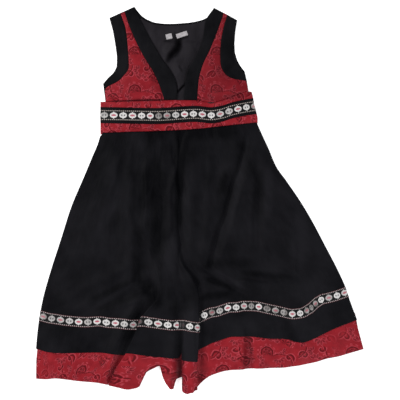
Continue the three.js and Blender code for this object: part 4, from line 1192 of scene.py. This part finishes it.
# The two hems of each run, by the share across it.
RUNS = [
    rows_of("share black red", [
        (0, -333, -401), (0.12, -340.5, -402), (0.24, -342.8, -400), (0.37, -342.8, -402.5),
        (0.53, -341.8, -406.5), (0.65, -341.5, -408), (0.79, -344, -410), (0.92, -347, -414.5),
        (1, -348, -415.5)]),
    rows_of("share black red", [
        (0, -342, -415.5), (0.1, -343, -419), (0.24, -346, -424), (0.35, -348, -421),
        (0.408, -349, -415.5), (0.43, -349.5, -400), (0.45, -350, -386.5), (0.53, -351, -378),
        (0.62, -352, -371.5), (0.664, -352.5, -387), (0.713, -353, -403), (0.767, -353.5, -415.5),
        (0.815, -354, -423), (0.855, -354, -423), (0.87, -354, -413), (0.88, -354, -402),
        (0.893, -353.5, -401), (0.935, -342.5, -398), (1, -342, -394)]),
    rows_of("share black red", [
        (0, -358, -429), (0.2, -359, -432.5), (0.35, -359.5, -433.5), (0.52, -360, -431.5),
        (0.72, -360.5, -430.5), (1, -361.5, -421)]),
    rows_of("share black red", [
        (0, -350, -431), (0.03, -340, -420.5), (0.05, -333.5, -411.5), (0.078, -328, -402),
        (0.11, -321.5, -394), (0.145, -317, -389), (0.196, -310, -383.5), (0.235, -306, -381),
        (0.306, -305.5, -379), (0.38, -306.5, -378), (0.453, -310, -377), (0.53, -311, -376.5),
        (0.58, -312, -374), (0.62, -316.8, -372), (0.665, -318.7, -368.5), (0.73, -311.6, -363),
        (0.79, -300.5, -355.5), (0.857, -288.5, -350.5), (0.92, -279.5, -343.5), (1, -268.5, -334.5)]),
]
COLUMNS_IN_RUN = [76, 56, 20, 124]
COLUMNS_IN_PLEAT = 19
# From its top down, a lapped pleat goes round a bend, back along the lap, and round another bend. These
# are the stations where the three end.
BEND_END, LAP_END, PLEAT_END = 2, 3, 5


def pleat_point(pleat, turned, y):
    """A point on a pleat, turned from 0 on its left to 1 on its right: place across, and lift."""
    risen = 1 - ease(y, pleat["laps"], pleat["rises"])
    lapped = 1 - ease(y, pleat["laid"], pleat["laps"])
    hand = 1 if pleat["over"] == "left" else -1
    down = turned if pleat["over"] == "left" else 1 - turned
    r, lap = PLEAT_LAYER / 2, pleat["lap"]
    station = down * PLEAT_END
    first_turn = math.pi / 2 * (1 - station)
    second_turn = math.pi / 2 * (1 + (station - LAP_END))
    if station <= BEND_END:
        folded = (-r + r * math.cos(first_turn), PLEAT_RISE - r + r * math.sin(first_turn))
    elif station <= LAP_END:
        folded = (mix(-r, r - lap, station - BEND_END), PLEAT_RISE - 2 * r)
    else:
        folded = (r - lap + r * math.cos(second_turn), PLEAT_RISE - 3 * r + r * math.sin(second_turn))
    flat_x = hand * (down - 0.5) * FLAT_PLEAT
    x = curve(pleat["line"], "y", "x")(y) + mix(flat_x, hand * folded[0], lapped)
    return x, risen * mix(PLEAT_RISE * (1 - down), folded[1], lapped)


skirt_columns = []
for order, run in enumerate(RUNS):
    black_at, red_at = curve(run, "share", "black"), curve(run, "share", "red")
    rise_at = curve(RIBBON_RISE[order], "share", "rise")
    last_run = order == len(RUNS) - 1
    for part in np.linspace(0, 1, COLUMNS_IN_RUN[order]):
        if (part > 0 or order == 0) and (part < 1 or last_run):
            skirt_columns.append({
                "run": order, "share": part, "black": black_at(part), "red": red_at(part),
                "rise": rise_at(part)})
    if not last_run:
        after = RUNS[order + 1]
        rise_after = RIBBON_RISE[order + 1]["rise"][0]
        for turned in np.linspace(0, 1, COLUMNS_IN_PLEAT):
            skirt_columns.append({
                "pleat": PLEATS[order], "turned": turned,
                "black": mix(run["black"][-1], after["black"][0], turned),
                "red": mix(run["red"][-1], after["red"][0], turned),
                "rise": mix(rise_at(1), rise_after, turned)})


def column_point(column, y, sides):
    """Where a column of the skirt's net passes a height: place across, and lift by the pleats."""
    if "pleat" in column:
        return pleat_point(column["pleat"], column["turned"], y)
    run = column["run"]
    start = (sides[0](y), 0) if run == 0 else pleat_point(PLEATS[run - 1], 1, y)
    end = (sides[1](y), 0) if run == len(PLEATS) else pleat_point(PLEATS[run], 0, y)
    return mix(start[0], end[0], column["share"]), mix(start[1], end[1], ease(column["share"], 0, 1))


def skirt_line(column, y, sides):
    """A column of the skirt's net, from place along to points."""
    x, lift = column_point(column, y, sides)
    return np.stack([x, y, front_height(x, y) + lift], axis=1)


ABOUT_WAIST = 160.0  # where each column is looked for first, to find its place on the waist's seam
skirt_sides = (side_left, side_right)
HEM_SIDE_LEFT = rows_of("y x", [(-310, -363), (-338, -365), (-360, -367), (-402, -367.5)])
HEM_SIDE_RIGHT = rows_of("y x", [(-250, 341), (-271, 350), (-333, 367.5)])
hem_sides = (curve(HEM_SIDE_LEFT, "y", "x"), curve(HEM_SIDE_RIGHT, "y", "x"))

UPPER_ROWS = 120  # from the waist to the ribbon's upper edge
RIBBON_ROWS = 11
LOWER_ROWS = 16  # from its lower edge to the red band's upper edge
TUCKED_ROWS = 7  # where the red band is behind the black hem


def rows_above_hem(rise):
    """Heights above the black hem, from the ribbon's upper edge down."""
    top, foot = rise + RIBBON_WIDTH / 2, rise - RIBBON_WIDTH / 2
    return np.concatenate([np.linspace(top, foot, RIBBON_ROWS), np.linspace(foot, HEM_TUCK, LOWER_ROWS)[1:],
                           np.linspace(HEM_TUCK, 0, TUCKED_ROWS)[1:]])


skirt_lines = []
for column in skirt_columns:
    roughly = waist_bottom(column_point(column, np.array([ABOUT_WAIST]), skirt_sides)[0])
    top = waist_bottom(column_point(column, roughly, skirt_sides)[0]) - GAP / 2
    lower = column["black"] + rows_above_hem(column["rise"])
    y = np.concatenate([np.linspace(top[0], lower[0], UPPER_ROWS), lower[1:]])
    skirt_lines.append(skirt_line(column, y, skirt_sides))
skirt_front = np.stack(skirt_lines, axis=1)
skirt_front[..., 2] -= dip(skirt_front[:1, :, 1] - skirt_front[..., 1], 0.5, 2.6)
steps_across = np.linalg.norm(np.diff(skirt_front[UPPER_ROWS], axis=0), axis=1)
skirt_run = np.concatenate([[0], np.cumsum(steps_across)])
skirt_cloth = np.dstack([np.broadcast_to(skirt_run, skirt_front.shape[:2]), skirt_front[..., 1]])
sew("skirt_front", skirt_front, COTTON, skirt_cotton, cloth=skirt_cloth)

# ---- woven ribbon on the skirt -----------------------------------------------------------------
# The same ribbon with fine red edges, sewn a hand's width above the hem. It follows every pleat and
# fold of the skirt.

SKIRT_RIBBON_OUT = COTTON / 2 + GAP + TAPE / 2
# Some ovals are painted grey where their silver catches no light, and nearly black in the shade of the
# pleats.
skirt_ribbon_finish = ribbon_finish("skirt_ribbon", (0.44, 0.38, 0.37, 1), (0.16, 0.055, 0.065, 1), [
    (1, 0.7), (2, 0.6), (3, 0.45), (4, 0.3), (6, 0.45), (9, 0.1), (10, 0.3), (11, 0.45), (13, 1.7),
    (14, 0.15), (18, 2), (19, 2), (21, 0.3), (22, 1.6), (23, 1.6), (25, 0.9), (26, 0.5), (28, 0.1),
    (29, 0.35), (30, 0.75), (32, 0.8), (33, 0.7), (34, 0.8), (35, 0.1), (37, 0.7), (38, 0.85), (39, 0.8),
    (41, 0.55), (43, 0.2)])
skirt_ribbon = moved_out(skirt_front, SKIRT_RIBBON_OUT)[UPPER_ROWS - 1:][:RIBBON_ROWS]
# Which ovals lie at a few places across each run, counted from the first. The pleats hide the rest.
SKIRT_OVALS = [
    rows_of("x oval", [
        (-371.5, 0), (-351.3, 1), (-312.4, 3), (-230, 7), (-148.8, 11), (-141, 11.42), (-124, 11.58)]),
    rows_of("x oval", [
        (-136, 13.1), (-127, 13.45), (-114.6, 14), (-93.3, 15), (-71.4, 16), (-50.5, 17), (-43, 17.42),
        (-30, 17.55)]),
    rows_of("x oval", [(-44, 19.43), (-33, 19.52), (-21.9, 20), (-4.8, 21), (12, 22)]),
    rows_of("x oval", [
        (-14, 22.9), (1, 23.44), (10.5, 24), (44.7, 26), (99.6, 29), (132.2, 31), (170, 33), (224.7, 36),
        (240.2, 37), (259.5, 39), (272.1, 40), (308.1, 42), (325, 43), (346, 44)]),
]
column_runs = np.array([column.get("run", -1) for column in skirt_columns])
skirt_ovals = np.zeros(len(skirt_columns))
for order, table in enumerate(SKIRT_OVALS):
    in_run = column_runs == order
    skirt_ovals[in_run] = curve(table, "x", "oval")(skirt_ribbon[RIBBON_ROWS // 2, in_run, 0])
in_pleat = column_runs < 0
skirt_ovals[in_pleat] = np.interp(
    np.flatnonzero(in_pleat), np.flatnonzero(~in_pleat), skirt_ovals[~in_pleat])
skirt_ribbon_piece = sew(
    "skirt_ribbon_front", skirt_ribbon, TAPE, skirt_ribbon_finish,
    cloth=ribbon_cloth(skirt_ribbon, skirt_ovals))

# ---- red band under the front hem --------------------------------------------------------------
# The jacquard strip again, sewn inside the black hem. It hangs below it in the same pleats, and the
# table shows through where it is folded up.

HEM_IN = COTTON / 2 + GAP + HEM_BROCADE / 2
HEM_ROWS = 32
hem_lines = []
for order, column in enumerate(skirt_columns):
    y = mix(column["black"], column["red"], np.linspace(0, 1, HEM_ROWS)[1:])
    tucked_in = skirt_front[-TUCKED_ROWS:, order]
    hem_lines.append(np.concatenate([tucked_in, skirt_line(column, y, hem_sides)]))
hem_front = moved_out(np.stack(hem_lines, axis=1), -HEM_IN)
hem_cloth = np.dstack([np.broadcast_to(skirt_run, hem_front.shape[:2]), hem_front[..., 1]])
sew("hem_front", hem_front, HEM_BROCADE, brocade, cloth=hem_cloth)
